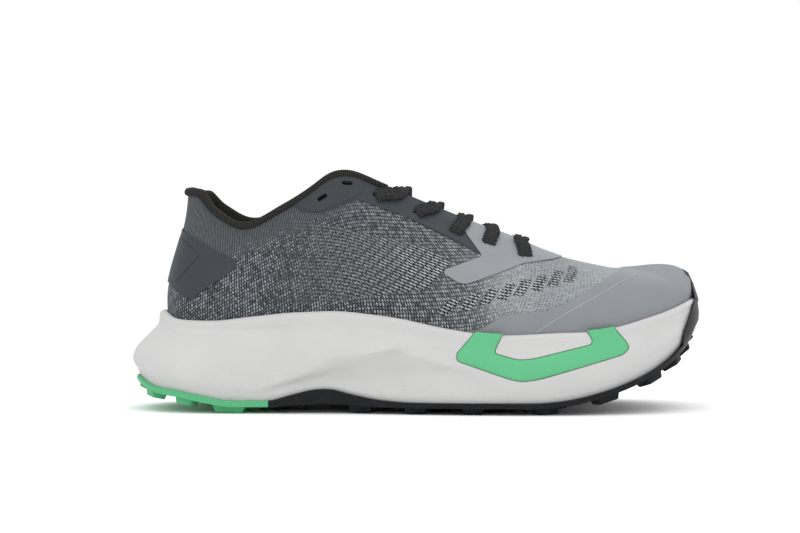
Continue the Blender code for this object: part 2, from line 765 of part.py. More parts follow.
def tread_climb(t):
    """How many of the side's lines the tread climbs before it is cut: all of them at the toe."""
    row = row_of(t)
    if row >= BUMPER_START:
        return FULL_CLIMB
    return MIDDLE_CLIMB if row >= BUMPER_START - 1 else LOW_CLIMB


def tread_outline(low, high):
    """What is kept of a tread, in X and Z: a rim on the sole's side, and the toe bumper."""
    floor = -INSTEP_HEIGHT
    points = [(low, floor), (low, sole_bottom(low) + TREAD_RIM)]
    rim_end = place(BUMPER[0][0])
    count = 16
    for i in range(1, count):
        x = low + (min(high, rim_end) - low) * i / count
        points.append((x, sole_bottom(x) + TREAD_RIM))
    if high > rim_end:
        points += [(place(s), bite_height(s) + INSTEP_HEIGHT * h) for s, h in BUMPER]
    else:
        points.append((high, sole_bottom(high) + TREAD_RIM))
    return points + [(high, floor)]


def lug_at(spot, turn, length, width):
    """A tapered lug under a spot on the tread, as two rings of points."""
    spot = Vector((spot.x, spot.y, tread_base(spot.x)))
    climb = tread_base(spot.x + MM) - tread_base(spot.x - MM)
    ahead = Vector((2 * MM, 0, climb)).normalized()
    across = Vector((0, 1, 0))
    down = across.cross(ahead)
    rings = []
    for sink, size in ((-0.55 * RUBBER, 1.06), (LUG_DEPTH, 0.84)):
        ring = []
        for u, w in LUG_CORNERS:
            a, b = u * length * size, w * width * size
            flat = ahead * (a * math.cos(turn) - b * math.sin(turn))
            flat += across * (a * math.sin(turn) + b * math.cos(turn))
            corner = spot + flat + down * sink
            corner.z = max(corner.z, FLOOR)
            ring.append(corner)
        rings.append(ring)
    return rings


def lug(t, reach, length, width):
    """A lug at a share of the way from the spine to the sole's edge, in line with that edge."""
    spot = spine(t).lerp(on_side(t, *side_profile(t)[0]), reach)
    out = outward(t)
    return lug_at(spot, math.atan2(out.y, out.x) + math.pi / 2, length, width)


def joined_lugs(name, lugs, helpers):
    """All the lugs of one tread as one helper mesh of separate bodies."""
    verts, faces = [], []
    for low, high in lugs:
        start, size = len(verts), len(low)
        verts += low + high
        faces.append(tuple(start + i for i in range(size)))
        faces.append(tuple(start + size + i for i in range(size)))
        for i in range(size):
            j = (i + 1) % size
            faces.append((start + i, start + j, start + size + j, start + size + i))
    obj = mesh_object(name, verts, faces, helpers)
    obj.hide_render = True
    obj.display_type = "WIRE"
    return obj


def make_tread(name, stations, span, lugs, colour, parts, helpers):
    """A rubber tread over a span of the sole's length, with its lugs joined on."""
    outer = [tread_rows(t, tread_climb(t), 1) for t in stations]
    inner = [tread_rows(t, tread_climb(t), 0) for t in stations]
    obj = slab(name, outer, inner, parts, sealed=[True] * len(stations))
    outline = prism(name + "_outline", tread_outline(*span), -BALL_WIDTH, BALL_WIDTH, helpers)
    boolean(obj, outline, "INTERSECT")
    boolean(obj, joined_lugs(name + "_lugs", lugs, helpers), "UNION")
    return paint(obj, colour, 0.75)


def paired_lugs(rows):
    """Lugs on both sides of the shoe from rows of station, reach, length and width."""
    lugs = []
    for station, reach, length, width in rows:
        for t in sorted({station, -station if station else 0.0}):
            lugs.append(lug(t, reach, length * MM, width * MM))
    return lugs


def make_treads(parts, helpers):
    """Two rubber treads with lugs: the heel's, and the forefoot's with its toe bumper."""
    heel_lugs = paired_lugs(HEEL_LUGS) + [lug_at(HEEL_PAD, 0, *PAD_SIZE)]
    span = (place(-0.09), TREAD_SPLIT - GAP / 2)
    green = (0.13, 0.58, 0.28)
    make_tread("outsole_heel", steps(-5, 5), span, heel_lugs, green, parts, helpers)
    fore_lugs = paired_lugs(FOREFOOT_LUGS) + [lug_at(FOREFOOT_PAD, 0, *PAD_SIZE)]
    span = (TREAD_SPLIT + GAP / 2, place(1.05))
    black = (0.03, 0.03, 0.035)
    stations = steps(3.5, LAP - 3.5)
    make_tread("outsole_forefoot", stations, span, fore_lugs, black, parts, helpers)


def make_upper(parts):
    """The knitted upper: one wall, open at the collar, the throat and underneath."""
    stations = steps(0, LAP)[:-1]
    heights = [-1.0] + [i / WALL_ROWS for i in range(WALL_ROWS + 1)]
    outer = [[upper_at(t, v) for v in heights] for t in stations]
    inner = [[upper_at(t, v, -UPPER_WALL) for v in heights] for t in stations]
    sealed = [row_of(t) >= THROAT_END for t in stations]
    obj = slab("upper", outer, inner, parts, sealed=sealed, closed=True)
    return paint(obj, (0.22, 0.23, 0.24), 0.85)


def make_insole(parts):
    columns = []
    for t in steps(0, LAP, 1)[:-1]:
        middle = spine(t)
        out = outward(t)
        low = upper_skin(t, -1.0) - out * (UPPER_WALL + INSOLE_PLAY)
        top = low + out * 0.4 * MM
        low.z = cup_floor(low.x) + GAP
        top.z = cup_floor(top.x) + GAP + INSOLE
        points = []
        for rim, lift in ((low, GAP), (top, GAP + INSOLE)):
            inner_rim = rim.lerp(middle, 0.15)
            row = [middle.copy(), rim.lerp(middle, 0.5), inner_rim]
            for point in row:
                point.z = cup_floor(point.x) + lift
            points.append(row)
        columns.append(points[0] + [low, top] + points[1][::-1])
    return paint(loft("insole", columns, parts, closed=True), (0.05, 0.05, 0.055), 0.9)


def collar_ring(t):
    """The section of the padded collar: a roll over the edge and a lining inside the wall."""
    row = row_of(t)
    fade = min(max((row - 4.5) / 2.5, 0.0), 1.0)
    depth = LINING_DEPTH * (1 - fade) + 5 * MM * fade
    pad = COLLAR_PAD * (1 - fade) + 1.0 * MM * fade
    inside = -UPPER_WALL - GAP - COLLAR_PLAY
    top, tip = upper_at(t, 1.0), upper_normal(t, 1.0)
    up = (upper_skin(t, 1.0) - upper_skin(t, 0.97)).normalized()

    def above(off, height):
        return top + tip * off + up * height

    def down(off, distance):
        return wall_at(t, below_edge(t, distance), off)

    return [
        down(GAP, COLLAR_LAP),
        down(GAP + COLLAR_ROLL, COLLAR_LAP - 0.6 * MM),
        above(GAP + COLLAR_ROLL, 0.2 * MM),
        above(GAP, 2.2 * MM),
        above(inside - pad * 0.8, 1.8 * MM),
        down(inside - pad, depth * 0.12),
        down(inside - pad, depth * 0.55),
        down(inside - 0.8 * MM, depth),
        down(inside, depth),
        down(inside, depth * 0.5),
        above(inside, GAP),
        above(GAP, GAP),
    ]


def make_collar(parts):
    rings = [collar_ring(t) for t in steps(-COLLAR_END, COLLAR_END)]
    return paint(tube("collar", rings, parts), (0.035, 0.036, 0.033), 0.95)


def tongue_row(row):
    """The tongue's upper face across the throat, from the inner side to the outer side."""
    wing = -UPPER_WALL - GAP - TONGUE_DROP
    sides = (LAP - row, row)
    tips, tucked, edges = (
        [upper_at(t, below_edge(t, depth), wing) for t in sides] for depth in TONGUE_TUCKS
    )
    crown = (edges[0] + edges[1]) / 2
    climb = upper_skin(row, 1.0).z - upper_skin(row, 0.97).z
    crown.z += TONGUE_DROP + TONGUE_CROWN + max(0.0, climb)
    near = [crown.lerp(point, 0.5) for point in edges]
    for point in near:
        point.z += TONGUE_CROWN / 2
    half = [tips, tucked, edges, near]
    return [pair[0] for pair in half] + [crown] + [pair[1] for pair in half[::-1]]


def make_tongue(parts):
    """The tongue, tucked under both edges of the throat, with a free top."""
    rows = [tongue_row(row) for row in steps(7.5, 11.5)[::-1]]
    last, before = rows[-1], rows[-2]
    rise = Vector((-TONGUE_TOP, 0, 0.4 * TONGUE_TOP))
    rows.append([a + rise + Vector((0, (b.y - a.y) * 0.2, 0)) for a, b in zip(last, before)])
    obj = loft("tongue", rows, parts)
    pad = obj.modifiers.new("Pad", "SOLIDIFY")
    pad.thickness = TONGUE_THICK
    pad.offset = -1
    return paint(obj, (0.30, 0.32, 0.33), 0.9)


def overlay_shell(name, first, last, low_v, helpers):
    """A film that follows the upper at a small gap, before its outline is cut."""
    first_row = math.floor(low_v * WALL_ROWS) + 1
    heights = [low_v] + [i / WALL_ROWS for i in range(first_row, WALL_ROWS + 1)]
    stations = steps(first, last)
    outer = [[wall_at(t, v, FILM_LIFT + FILM) for v in heights] for t in stations]
    inner = [[wall_at(t, v, FILM_LIFT) for v in heights] for t in stations]
    return slab(name, outer, inner, helpers, sealed=[row_of(t) >= THROAT_END for t in stations])


def roll_zone(side, helpers):
    """The space along one side's edge that the collar's roll takes up."""
    rows = steps(2, COLLAR_END) + [COLLAR_END + 0.15]
    stations = sorted(side * row % LAP for row in rows)
    skins = []
    for off in (5 * MM, -4 * MM):
        columns = []
        for t in stations:
            low = wall_at(t, below_edge(t, COLLAR_LAP + 2 * GAP), off)
            top = upper_at(t, 1.0, off)
            columns.append([low, top + (top - low).normalized() * 3 * MM])
        skins.append(columns)
    zone = slab(f"roll_zone_{side}", skins[0], skins[1], helpers)
    zone.hide_render = True
    zone.display_type = "WIRE"
    return zone


def slot_cutter(t_side, helpers):
    """The lace slots of one side, as one helper mesh."""
    lugs = []
    for share, height in SLOTS:
        z = bite_height(share) + INSTEP_HEIGHT * height
        t, v = find_on_upper(place(share), z, t_side)
        centre, normal = upper_at(t, v), upper_normal(t, v)
        run = (upper_skin(t + 0.05, v) - upper_skin(t - 0.05, v)).normalized()
        if run.x < 0:
            run = -run
        rise = normal.cross(run)
        ring_pair = []
        for depth in (-3 * UPPER_WALL, 3 * UPPER_WALL):
            ring = []
            for a, b in SLOT_CORNERS:
                corner = run * a * SLOT_LENGTH + rise * b * SLOT_WIDTH
                ring.append(centre + corner + normal * depth)
            ring_pair.append(ring)
        lugs.append(ring_pair)
    return joined_lugs("slots" + ("_lateral" if t_side < 0 else "_medial"), lugs, helpers)


def find_on_upper(x, z, t_side):
    """The station and v where the upper passes a point seen from the side."""
    best = None
    for i in range(24, 136):
        row = i / 10
        t = row if t_side < 0 else LAP - row
        for k in range(10, 51):
            v = k / 50
            point = upper_skin(t, v)
            miss = (point.x - x) ** 2 + (point.z - z) ** 2
            if best is None or miss < best[0]:
                best = (miss, t, v)
    return best[1], best[2]


def make_overlays(parts, helpers, cutters):
    dark, light, cap = (0.055, 0.062, 0.07), (0.34, 0.35, 0.37), (0.28, 0.29, 0.31)
    wide = BALL_WIDTH
    toe = overlay_shell("toe_cap", 7.5, LAP - 7.5, 0.02, parts)
    outline = prism("toe_cap_outline", upper_outline(TOE_CAP), -wide, wide, helpers)
    boolean(toe, outline, "INTERSECT", "MANIFOLD")
    paint(toe, cap, 0.6)
    front = overlay_shell("eyestay_front", 8, LAP - 8, 0.20, parts)
    outline = prism("eyestay_front_outline", upper_outline(EYESTAY_FRONT), -wide, wide, helpers)
    boolean(front, outline, "INTERSECT", "MANIFOLD")
    for cutter in cutters:
        boolean(front, cutter, "DIFFERENCE", "MANIFOLD")
    paint(front, light, 0.6)
    for side, cutter in zip((-1, 1), cutters):
        name = "eyestay_lateral" if side < 0 else "eyestay_medial"
        first, last = (4.5, 11.5) if side < 0 else (LAP - 11.5, LAP - 4.5)
        rear = overlay_shell(name, first, last, 0.40, parts)
        low, high = sorted((0.0, side * wide))
        outline = upper_outline(EYESTAY_REAR)
        boolean(rear, prism(name + "_outline", outline, low, high, helpers), "INTERSECT")
        boolean(rear, cutter, "DIFFERENCE")
        boolean(rear, roll_zone(-side, helpers), "DIFFERENCE")
        paint(rear, dark, 0.55)
    counter = overlay_shell("heel_counter", -5, 5, 0.08, parts)
    outline = upper_outline(HEEL_COUNTER)
    boolean(counter, prism("heel_counter_outline", outline, -wide, wide, helpers), "INTERSECT")
    paint(counter, (0.07, 0.08, 0.09), 0.6)


def side_shell(name, first, last, inner_off, outer_off, collection):
    """A slab that follows the sole's side, between two distances from it."""
    skins = []
    for off in (outer_off, inner_off):
        columns = []
        for t in steps(first, last, 2):
            lines = side_profile(t)
            columns.append([on_side(t, out + off, z) for out, z in lines[:7]])
            raised = on_side(t, lines[6][0] + off, bite(t).z + 1.5 * MM)
            columns[-1].append(raised)
        skins.append(columns)
    return slab(name, skins[0], skins[1], collection)


def make_inserts(parts, helpers, midsole):
    """The coloured insert let into each side of the foam at the ball of the foot."""
    for side, name in ((-1, "side_insert_lateral"), (1, "side_insert_medial")):
        first, last = (8.0, 13.0) if side < 0 else (LAP - 13.0, LAP - 8.0)
        low, high = sorted((side * 20 * MM, side * BALL_WIDTH))
        insert = side_shell(name, first, last, -INSERT_DEPTH, INSERT_PROUD, parts)
        outline = insert_outline(SIDE_INSERT, 2.5 * MM)
        boolean(insert, prism(name + "_outline", outline, low, high, helpers), "INTERSECT")
        paint(insert, (0.17, 0.62, 0.32), 0.5)
        pocket = side_shell(name + "_pocket", first, last, -INSERT_DEPTH - GAP, 6 * MM, helpers)
        grown = insert_outline(SIDE_INSERT, 2.5 * MM, GAP)
        boolean(pocket, prism(name + "_grown", grown, low, high, helpers), "INTERSECT")
        pocket.hide_render = True
        pocket.display_type = "WIRE"
        boolean(midsole, pocket, "DIFFERENCE")


def lace_strand(points, helpers, name):
    """A flat cord through the points, with six sides."""
    rings = []
    for i, point in enumerate(points):
        ahead = points[min(i + 1, len(points) - 1)] - points[max(i - 1, 0)]
        ahead.normalize()
        flat = Vector((0, 0, 1)).cross(ahead).normalized()
        lift = ahead.cross(flat)
        ring = []
        for k in range(6):
            angle = math.radians(60 * k)
            ring.append(
                point
                + flat * math.cos(angle) * LACE_WIDTH / 2
                + lift * math.sin(angle) * LACE_THICK / 2
            )
        rings.append(ring)
    return tube(name, rings, helpers)


def make_laces(parts, helpers):
    """Crossings of the lace over the throat, each of two strands joined, and a straight bar."""
    spots = []
    for share, height in SLOTS[EMPTY_SLOTS:]:
        z = bite_height(share) + INSTEP_HEIGHT * height
        spots.append([find_on_upper(place(share), z, side) for side in (-1, 1)])
    for i, pair in enumerate(spots):
        play = LACE_TOP_PLAY if i == 0 else LACE_PLAY
        lie = FILM_LIFT + FILM + GAP + LACE_THICK / 2 + play
        straight = i == len(spots) - 1
        following = spots[min(i + 1, len(spots) - 1)]
        strands = []
        for side in (0, 1):
            t, v = pair[side]
            lean = LACE_BAR if straight else row_of(following[1 - side][0]) - row_of(t)
            toeward = -side_of(t)
            stop = LACE_STOP if i < len(spots) - 2 else LACE_LAST_STOP
            shares = (LACE_OVER, LACE_LEAVE)
            if straight:
                shares, stop = (LACE_OVER, 1.0), 1.0
            over, leave = (t + toeward * lean * share for share in shares)
            far = LAP - t - toeward * lean * stop
            near_edge, far_edge = upper_at(leave, 1.0, lie), upper_at(far, 1.0, lie)
            crown = tongue_row((row_of(leave) + row_of(far)) / 2)[4]
            middle = (near_edge + far_edge) / 2
            middle.z = max(middle.z, crown.z + GAP + LACE_THICK / 2 + play)
            up = Vector((0, 0, 1))
            strand = [
                upper_at(t, v, lie),
                upper_at(over, v * 0.45 + 0.55, lie),
                near_edge.lerp(middle, 0.1) + up * 0.4 * MM,
                near_edge.lerp(middle, 0.55) + up * 0.8 * MM,
                middle,
                middle.lerp(far_edge, 0.45),
                middle.lerp(far_edge, 0.70) - up * 0.8 * MM,
            ]
            name = f"lace_{i + 1}" if side == 0 else "strand"
            strands.append(lace_strand(strand, parts, name))
        boolean(strands[0], strands[1], "UNION")
        bpy.data.objects.remove(strands[1])
        paint(strands[0], (0.012, 0.012, 0.013), 0.85)


def build():
    for obj in list(bpy.data.objects):
        bpy.data.objects.remove(obj)
    scene = bpy.context.scene.collection
    parts = bpy.data.collections.new("trail_running_shoe")
    helpers = bpy.data.collections.new("cutters")
    scene.children.link(parts)
    scene.children.link(helpers)
    midsole = make_midsole(parts)
    make_treads(parts, helpers)
    upper = make_upper(parts)
    cutters = [slot_cutter(side, helpers) for side in (-1, 1)]
    make_insole(parts)
    make_collar(parts)
    make_tongue(parts)
    make_overlays(parts, helpers, cutters)
    make_inserts(parts, helpers, midsole)
    make_laces(parts, helpers)
    for cutter in cutters:
        boolean(upper, cutter, "DIFFERENCE")


build()
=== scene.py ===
"""Trail running shoe for the right foot: the looks of every piece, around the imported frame.

+X runs from the heel to the toe, +Y to the inner (medial) side and +Z up, in metres. The shoe's
forms follow the same named sizes and short tables as its solids, laid out more finely here.
"""

import math
from functools import lru_cache

import bmesh
import bpy
import numpy as np
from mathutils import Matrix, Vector


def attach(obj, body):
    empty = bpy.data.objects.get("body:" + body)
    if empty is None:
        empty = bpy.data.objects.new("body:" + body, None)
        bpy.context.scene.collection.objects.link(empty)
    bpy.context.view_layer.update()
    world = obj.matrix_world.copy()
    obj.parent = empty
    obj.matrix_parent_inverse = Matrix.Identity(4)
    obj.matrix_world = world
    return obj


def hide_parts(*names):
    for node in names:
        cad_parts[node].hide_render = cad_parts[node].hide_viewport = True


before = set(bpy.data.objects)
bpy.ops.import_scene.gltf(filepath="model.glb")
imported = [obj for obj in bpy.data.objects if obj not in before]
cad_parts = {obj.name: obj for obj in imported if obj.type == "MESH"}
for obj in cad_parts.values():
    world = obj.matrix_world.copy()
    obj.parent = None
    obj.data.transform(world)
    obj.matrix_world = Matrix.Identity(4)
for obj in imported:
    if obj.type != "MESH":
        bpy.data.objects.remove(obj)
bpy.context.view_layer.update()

MM = 0.001

# Driving sizes of the last and the upper
UPPER_LENGTH = 278 * MM
BALL_WIDTH = 98 * MM
INSTEP_HEIGHT = 90 * MM
HEEL_HEIGHT = 81 * MM
HEEL_SETBACK = 45.5 * MM
UPPER_WALL = 1.8 * MM
CUP_DEPTH = 16 * MM
CUP_TAPER = 3 * MM

# Driving sizes of the sole
LUG_DEPTH = 3.3 * MM
RUBBER = 2.0 * MM
FOREFOOT_STACK = 19 * MM
HEEL_DROP = 8.5 * MM
TOE_SPRING = 38.5 * MM
HEEL_SPRING = 10 * MM
ARCH_RISE = 6 * MM
ARCH_RUBBER = 4.2 * MM
SOLE_FLARE = 10 * MM
LIP = 4.2 * MM

# Driving sizes of what is set on or in the shoe
FILM = 0.8 * MM
INSERT_DEPTH = 2.0 * MM
INSERT_PROUD = 0.5 * MM
COLLAR_PAD = 4.0 * MM
COLLAR_PLAY = 0.4 * MM
COLLAR_ROLL = 1.5 * MM
LINING_DEPTH = 27 * MM
TONGUE_THICK = 3.6 * MM
TONGUE_DROP = 2.2 * MM
TONGUE_CROWN = 1.6 * MM
TONGUE_TOP = 6 * MM
TONGUE_TUCKS = (12 * MM, 7 * MM, 0.0)
SLOT_LENGTH = 5.6 * MM
SLOT_WIDTH = 2.4 * MM

# Where a strand lies over the eyestay, leaves its edge and stops under the far edge, as shares of
# the way to the next slot's station, and how far the front bar leans, in stations
LACE_OVER = 0.50
LACE_LEAVE = 0.62
LACE_STOP = 0.80
LACE_LAST_STOP = 0.50
LACE_BAR = 0.6

GAP = 0.3 * MM

# What the scene adds: finer sizes, in metres
CLOTH = "cloth"
CLOTH_UNIT = 0.1
MERGE = 0.02 * MM
BASE_INSET = 2 * MM
FILM_SEAT = -0.2 * MM
FACET = 0.35 * MM
FACET_SEAT = FILM_SEAT + FILM - 0.1 * MM
LINE_WIDTH = 0.6 * MM
LINE_PARTS = 36
LUG_ROUND = 0.45 * MM
LACE_STEP = 0.24 * MM
LACE_STITCH = 2.3 * MM
LACE_RIBS = 6
BRAID_WIDTH = 7.6 * MM
BRAID_THICK = 2.6 * MM
CUFF_LAP = 2.7 * MM
GROOVE = 0.35 * MM
SLOT_REACH = 14 * MM
TONGUE_PARTS = 8
INSERT_ROUND = 3 * MM
INSERT_EASE = (1.2 * MM, 0.6 * MM)

# How much of the tongue's crown shows here, so that the laces lie low enough
TONGUE_CREST = 0.4

# How finely the pieces are laid out: parts for each station, or parts in all
KNIT_STEPS, KNIT_ROWS, SUNK_ROWS = 8, 50, 6
FILM_STEPS, FILM_ROWS = 8, 40
COLLAR_STEPS, COLLAR_ROWS = 8, 48
FOAM_STEPS = 10
INSERT_PARTS = 110
TREAD_STEPS = 6
CORD_STEPS, CORD_SIDES = 60, 44
OUTLINE_ARC = 6
PATH_ARC, PATH_RUN = 5, 3
CORNER_SHARE = 0.45

# The braid's section, as shares of its half width and half thickness: how square it is, its
# scalloped edges with the shift between them, and its flat faces with the stitches on them
BRAID_SQUARE = 0.7
EDGE_SHARE, EDGE_NUB, EDGE_SHIFT = 0.78, 0.24, 0.3
FACE_SHARE, FACE_NUB, FACE_STITCH = 0.42, 0.68, 0.75

# How the foam's edges are rounded, in mm, at stations from the heel to the toe. The other edges of
# its section are rounded alike all round.
ROUNDING_NAMES = ("station", "neck", "ledge", "hollow", "foot")
ROUNDING = (
    (0, 1.0, 3.0, 3.0, 2.2),
    (3, 2.0, 3.0, 3.5, 2.5),
    (5, 3.0, 0.9, 2.0, 2.5),
    (8, 3.0, 0.9, 2.0, 2.5),
    (10, 3.0, 3.0, 3.5, 2.5),
    (15, 2.0, 2.5, 2.5, 2.0),
)
CUP_ROUNDING = (0, 5, 2, 0.4, 0.8, 0.8, 1.0)
BASE_ROUNDING = (1.0, 0.8, 5, 0)

# Soft ridges and troughs on the foam's side, seen from the side in mm: how far they stand out, how
# wide they are, and the points that they pass
FOAM_RIDGES = (
    (0.7, 2.6, ((-46, 42.6), (-15, 39.9), (-1, 36.4), (20, 33.9), (46, 28.8))),
    (-0.5, 3.2, ((-46, 48.6), (-15, 46.2), (8, 42.6), (30, 40.0), (60, 39.0))),
    (0.6, 2.4, ((192, 27.5), (206, 34.0), (218, 40.0), (229, 45.5))),
    (0.9, 1.6, ((4, 12.2), (30, 19.8), (54, 27.4), (76, 34.0), (84, 35.2))),
    (-0.7, 2.0, ((10, 11.0), (32, 16.8), (55, 24.0), (76, 30.6), (84, 32.0))),
)

# How high the rubber's rim stands over the foam's lower edge, as place along the shoe and height,
# both in mm
RIM_HEIGHTS = (
    (-70, -1.0), (-60, 0.4), (-52, 3.2), (-43, 3.4), (-8, 3.0), (2, 3.2), (11, 3.9), (18, 2.8),
    (30, 1.4), (45, 0.6), (60, 0.3), (90, -0.1), (115, -0.1), (150, 0.3), (175, 0.5), (200, 0.3),
    (240, 0.3),
)
BUMPER_SEAT = 0.3 * MM
BUMPER_THICK = 1.0 * MM
INSERT_RADII = [r * MM for r in (0, 2.5, 4.0, 3.5, 3.0, 1.2, 0)]

# The camera stands level beside the shoe's outer side
CAMERA_PLACE = (76.5 * MM, -900 * MM, 73.8 * MM)
FOCAL_LENGTH = 76.95
SENSOR_WIDTH = 36.0
CAMERA_ROLL = 0.0

# The softboxes' names, places, sizes in metres and power in watts
LIGHT_AIM = (0.1, 0, 0.05)
LIGHTS = (
    ("top_softbox", (0.15, -0.25, 1.3), (1.4, 1.1), 5),
    ("front_softbox", (-0.1, -1.5, 0.7), (1.6, 0.9), 3),
    ("back_softbox", (0.3, 1.2, 0.9), (1.4, 0.7), 3),
)
STUDIO_STRENGTH = 1.06
FLOOR_SIZE = 12
FLOOR_TONES = ((0.965, 0.965, 0.965, 1), (0.98, 0.98, 0.98, 1))

# How steeply the knit's courses sink towards the toe: place along the shoe in mm and slope
COURSE_SLOPES = ((-50, 0.0), (30, 0.0), (72, 0.42), (102, 0.42), (125, 0.2), (240, 0.2))

# The knit's colours along the shoe, as everyday 0 to 255 values: the ground and the yarn on it
KNIT_TONES = (
    (-50, (27, 30, 34), (145, 150, 155)),
    (50, (27, 30, 34), (147, 152, 157)),
    (85, (30, 33, 37), (156, 159, 163)),
    (108, (44, 47, 51), (164, 167, 171)),
    (122, (68, 71, 75), (174, 178, 181)),
    (150, (64, 68, 71), (152, 156, 160)),
    (178, (86, 90, 93), (162, 167, 170)),
    (240, (92, 96, 99), (164, 169, 172)),
)

# The knit's zones, seen from the side in mm: lines given by their slope and their height at x = 0
CUFF_LINE = (-0.42, 80.9)
VENT_CEILINGS = ((-0.217, 103.5), (-0.628, 140.2))
VENT_FLOORS = ((0.12, 51.5), (1.073, -34.7))
VAMP_LINE = (0.267, 26.4)
VAMP_GROUP, VAMP_SKEW, VAMP_STEP, VAMP_HALF = 5.9, -0.9, -8.6, 3.3
VAMP_ENDS = (95.0, 97.0, 165.0, 167.0)
MESH_STARTS = (124, 152)
VENT_PITCH = 1.85

BOTH_SIDES = ((-1, "lateral"), (1, "medial"))
WIDE = (-BALL_WIDTH, BALL_WIDTH)
HALF_BALL = BALL_WIDTH / 2
HEEL_BACK = -HEEL_SETBACK
SOLE_BASE = LUG_DEPTH + RUBBER + GAP

# Height of the sole along its length. "along" is a share of UPPER_LENGTH from the heel back.
# The others are shares of HEEL_SPRING, ARCH_RISE, TOE_SPRING, HEEL_DROP and, under the foot,
# TOE_SPRING again.
PROFILE_NAMES = ("along", "heel", "arch", "toe", "drop", "toe_floor")
PROFILE = (
    (-0.07, 1.55, 0.00, 0.00, 1.00, 0.00),
    (-0.05, 1.20, 0.00, 0.00, 1.00, 0.00),
    (-0.015, 0.70, 0.00, 0.00, 1.00, 0.00),
    (0.035, 0.47, 0.00, 0.00, 1.00, 0.00),
    (0.085, 0.20, 0.00, 0.00, 1.00, 0.00),
    (0.135, 0.00, 0.00, 0.00, 0.99, 0.00),
    (0.20, 0.00, 0.00, 0.00, 0.93, 0.00),
    (0.24, 0.00, 0.45, 0.00, 0.86, 0.00),
    (0.28, 0.00, 0.90, 0.00, 0.75, 0.00),
    (0.31, 0.00, 1.00, 0.00, 0.66, 0.00),
    (0.35, 0.00, 0.62, 0.00, 0.54, 0.00),
    (0.40, 0.00, 0.20, 0.00, 0.38, 0.00),
    (0.48, 0.00, 0.00, 0.00, 0.18, 0.00),
    (0.56, 0.00, 0.00, 0.00, 0.06, 0.00),
    (0.67, 0.00, 0.00, 0.00, 0.00, 0.00),
    (0.74, 0.00, 0.00, 0.04, 0.00, 0.03),
    (0.80, 0.00, 0.00, 0.14, 0.00, 0.10),
    (0.86, 0.00, 0.00, 0.29, 0.00, 0.22),
    (0.91, 0.00, 0.00, 0.47, 0.00, 0.36),
    (0.95, 0.00, 0.00, 0.68, 0.00, 0.49),
    (0.98, 0.00, 0.00, 0.90, 0.00, 0.57),
    (1.01, 0.00, 0.00, 1.15, 0.00, 0.62),
)

# The upper, one row for each station from the heel back to the toe tip. Bite is where the upper
# meets the sole's lip, edge is the collar, the throat and then the ridge of the vamp.
# x is a share of UPPER_LENGTH, y and gap of half of BALL_WIDTH, z of the heights named above it.
STATION_NAMES = (
    "bite_x", "bite_lat", "bite_med", "bite_z", "edge_x", "ridge_y", "gap_lat", "gap_med",
    "heel_z", "instep_lat", "instep_med",
)
STATIONS = (
    (0.000, 0.00, 0.00, 1.12, 0.038, 0.00, 0.00, 0.00, 1.00, 0.000, 0.000),
    (0.010, 0.27, 0.27, 1.04, 0.044, 0.00, 0.20, 0.20, 0.99, 0.000, 0.000),
    (0.036, 0.49, 0.49, 0.85, 0.064, 0.00, 0.37, 0.37, 0.98, 0.000, 0.010),
    (0.095, 0.64, 0.64, 0.81, 0.100, 0.00, 0.49, 0.49, 0.725, 0.115, 0.155),
    (0.165, 0.70, 0.695, 0.95, 0.156, 0.00, 0.57, 0.56, 0.355, 0.375, 0.415),
    (0.255, 0.735, 0.70, 1.18, 0.226, 0.00, 0.61, 0.58, 0.105, 0.712, 0.730),
    (0.345, 0.785, 0.675, 1.34, 0.292, 0.00, 0.60, 0.57, 0.00, 0.960, 0.965),
    (0.435, 0.855, 0.68, 1.29, 0.345, 0.00, 0.54, 0.53, 0.00, 1.030, 1.030),
    (0.525, 0.93, 0.755, 1.06, 0.415, 0.01, 0.43, 0.43, 0.00, 0.970, 0.970),
    (0.615, 0.985, 0.88, 0.91, 0.500, 0.02, 0.34, 0.34, 0.00, 0.880, 0.880),
    (0.705, 1.01, 0.97, 0.96, 0.586, 0.03, 0.28, 0.28, 0.00, 0.785, 0.785),
    (0.795, 0.97, 0.97, 0.84, 0.660, 0.04, 0.22, 0.22, 0.00, 0.705, 0.705),
    (0.875, 0.84, 0.87, 0.78, 0.718, 0.05, 0.00, 0.00, 0.00, 0.624, 0.624),
    (0.940, 0.59, 0.69, 0.66, 0.790, 0.07, 0.00, 0.00, 0.00, 0.535, 0.535),
    (0.977, 0.25, 0.42, 0.64, 0.855, 0.09, 0.00, 0.00, 0.00, 0.450, 0.450),
    (0.991, -0.10, 0.10, 0.62, 0.905, 0.10, 0.00, 0.00, 0.00, 0.403, 0.403),
)

# How each column of the upper bulges between bite and edge: the pull at the bite, up and outward,
# and at the edge, outward and down. rise and drop are shares of INSTEP_HEIGHT, the others of
# half of BALL_WIDTH.
BULGE_NAMES = ("rise", "swell", "reach", "drop")
BULGES = (
    (0.25, 0.04, 0.00, 0.30),
    (0.25, 0.05, 0.01, 0.28),
    (0.23, 0.06, 0.02, 0.24),
    (0.20, 0.07, 0.02, 0.18),
    (0.19, 0.07, 0.02, 0.17),
    (0.20, 0.06, 0.04, 0.20),
    (0.22, 0.05, 0.08, 0.25),
    (0.27, 0.04, 0.16, 0.29),
    (0.29, 0.03, 0.22, 0.22),
    (0.29, 0.03, 0.29, 0.13),
    (0.27, 0.04, 0.35, 0.09),
    (0.24, 0.06, 0.42, 0.03),
    (0.20, 0.07, 0.49, 0.00),
    (0.16, 0.07, 0.46, 0.00),
    (0.15, 0.06, 0.40, 0.00),
    (0.155, 0.05, 0.38, 0.00),
)

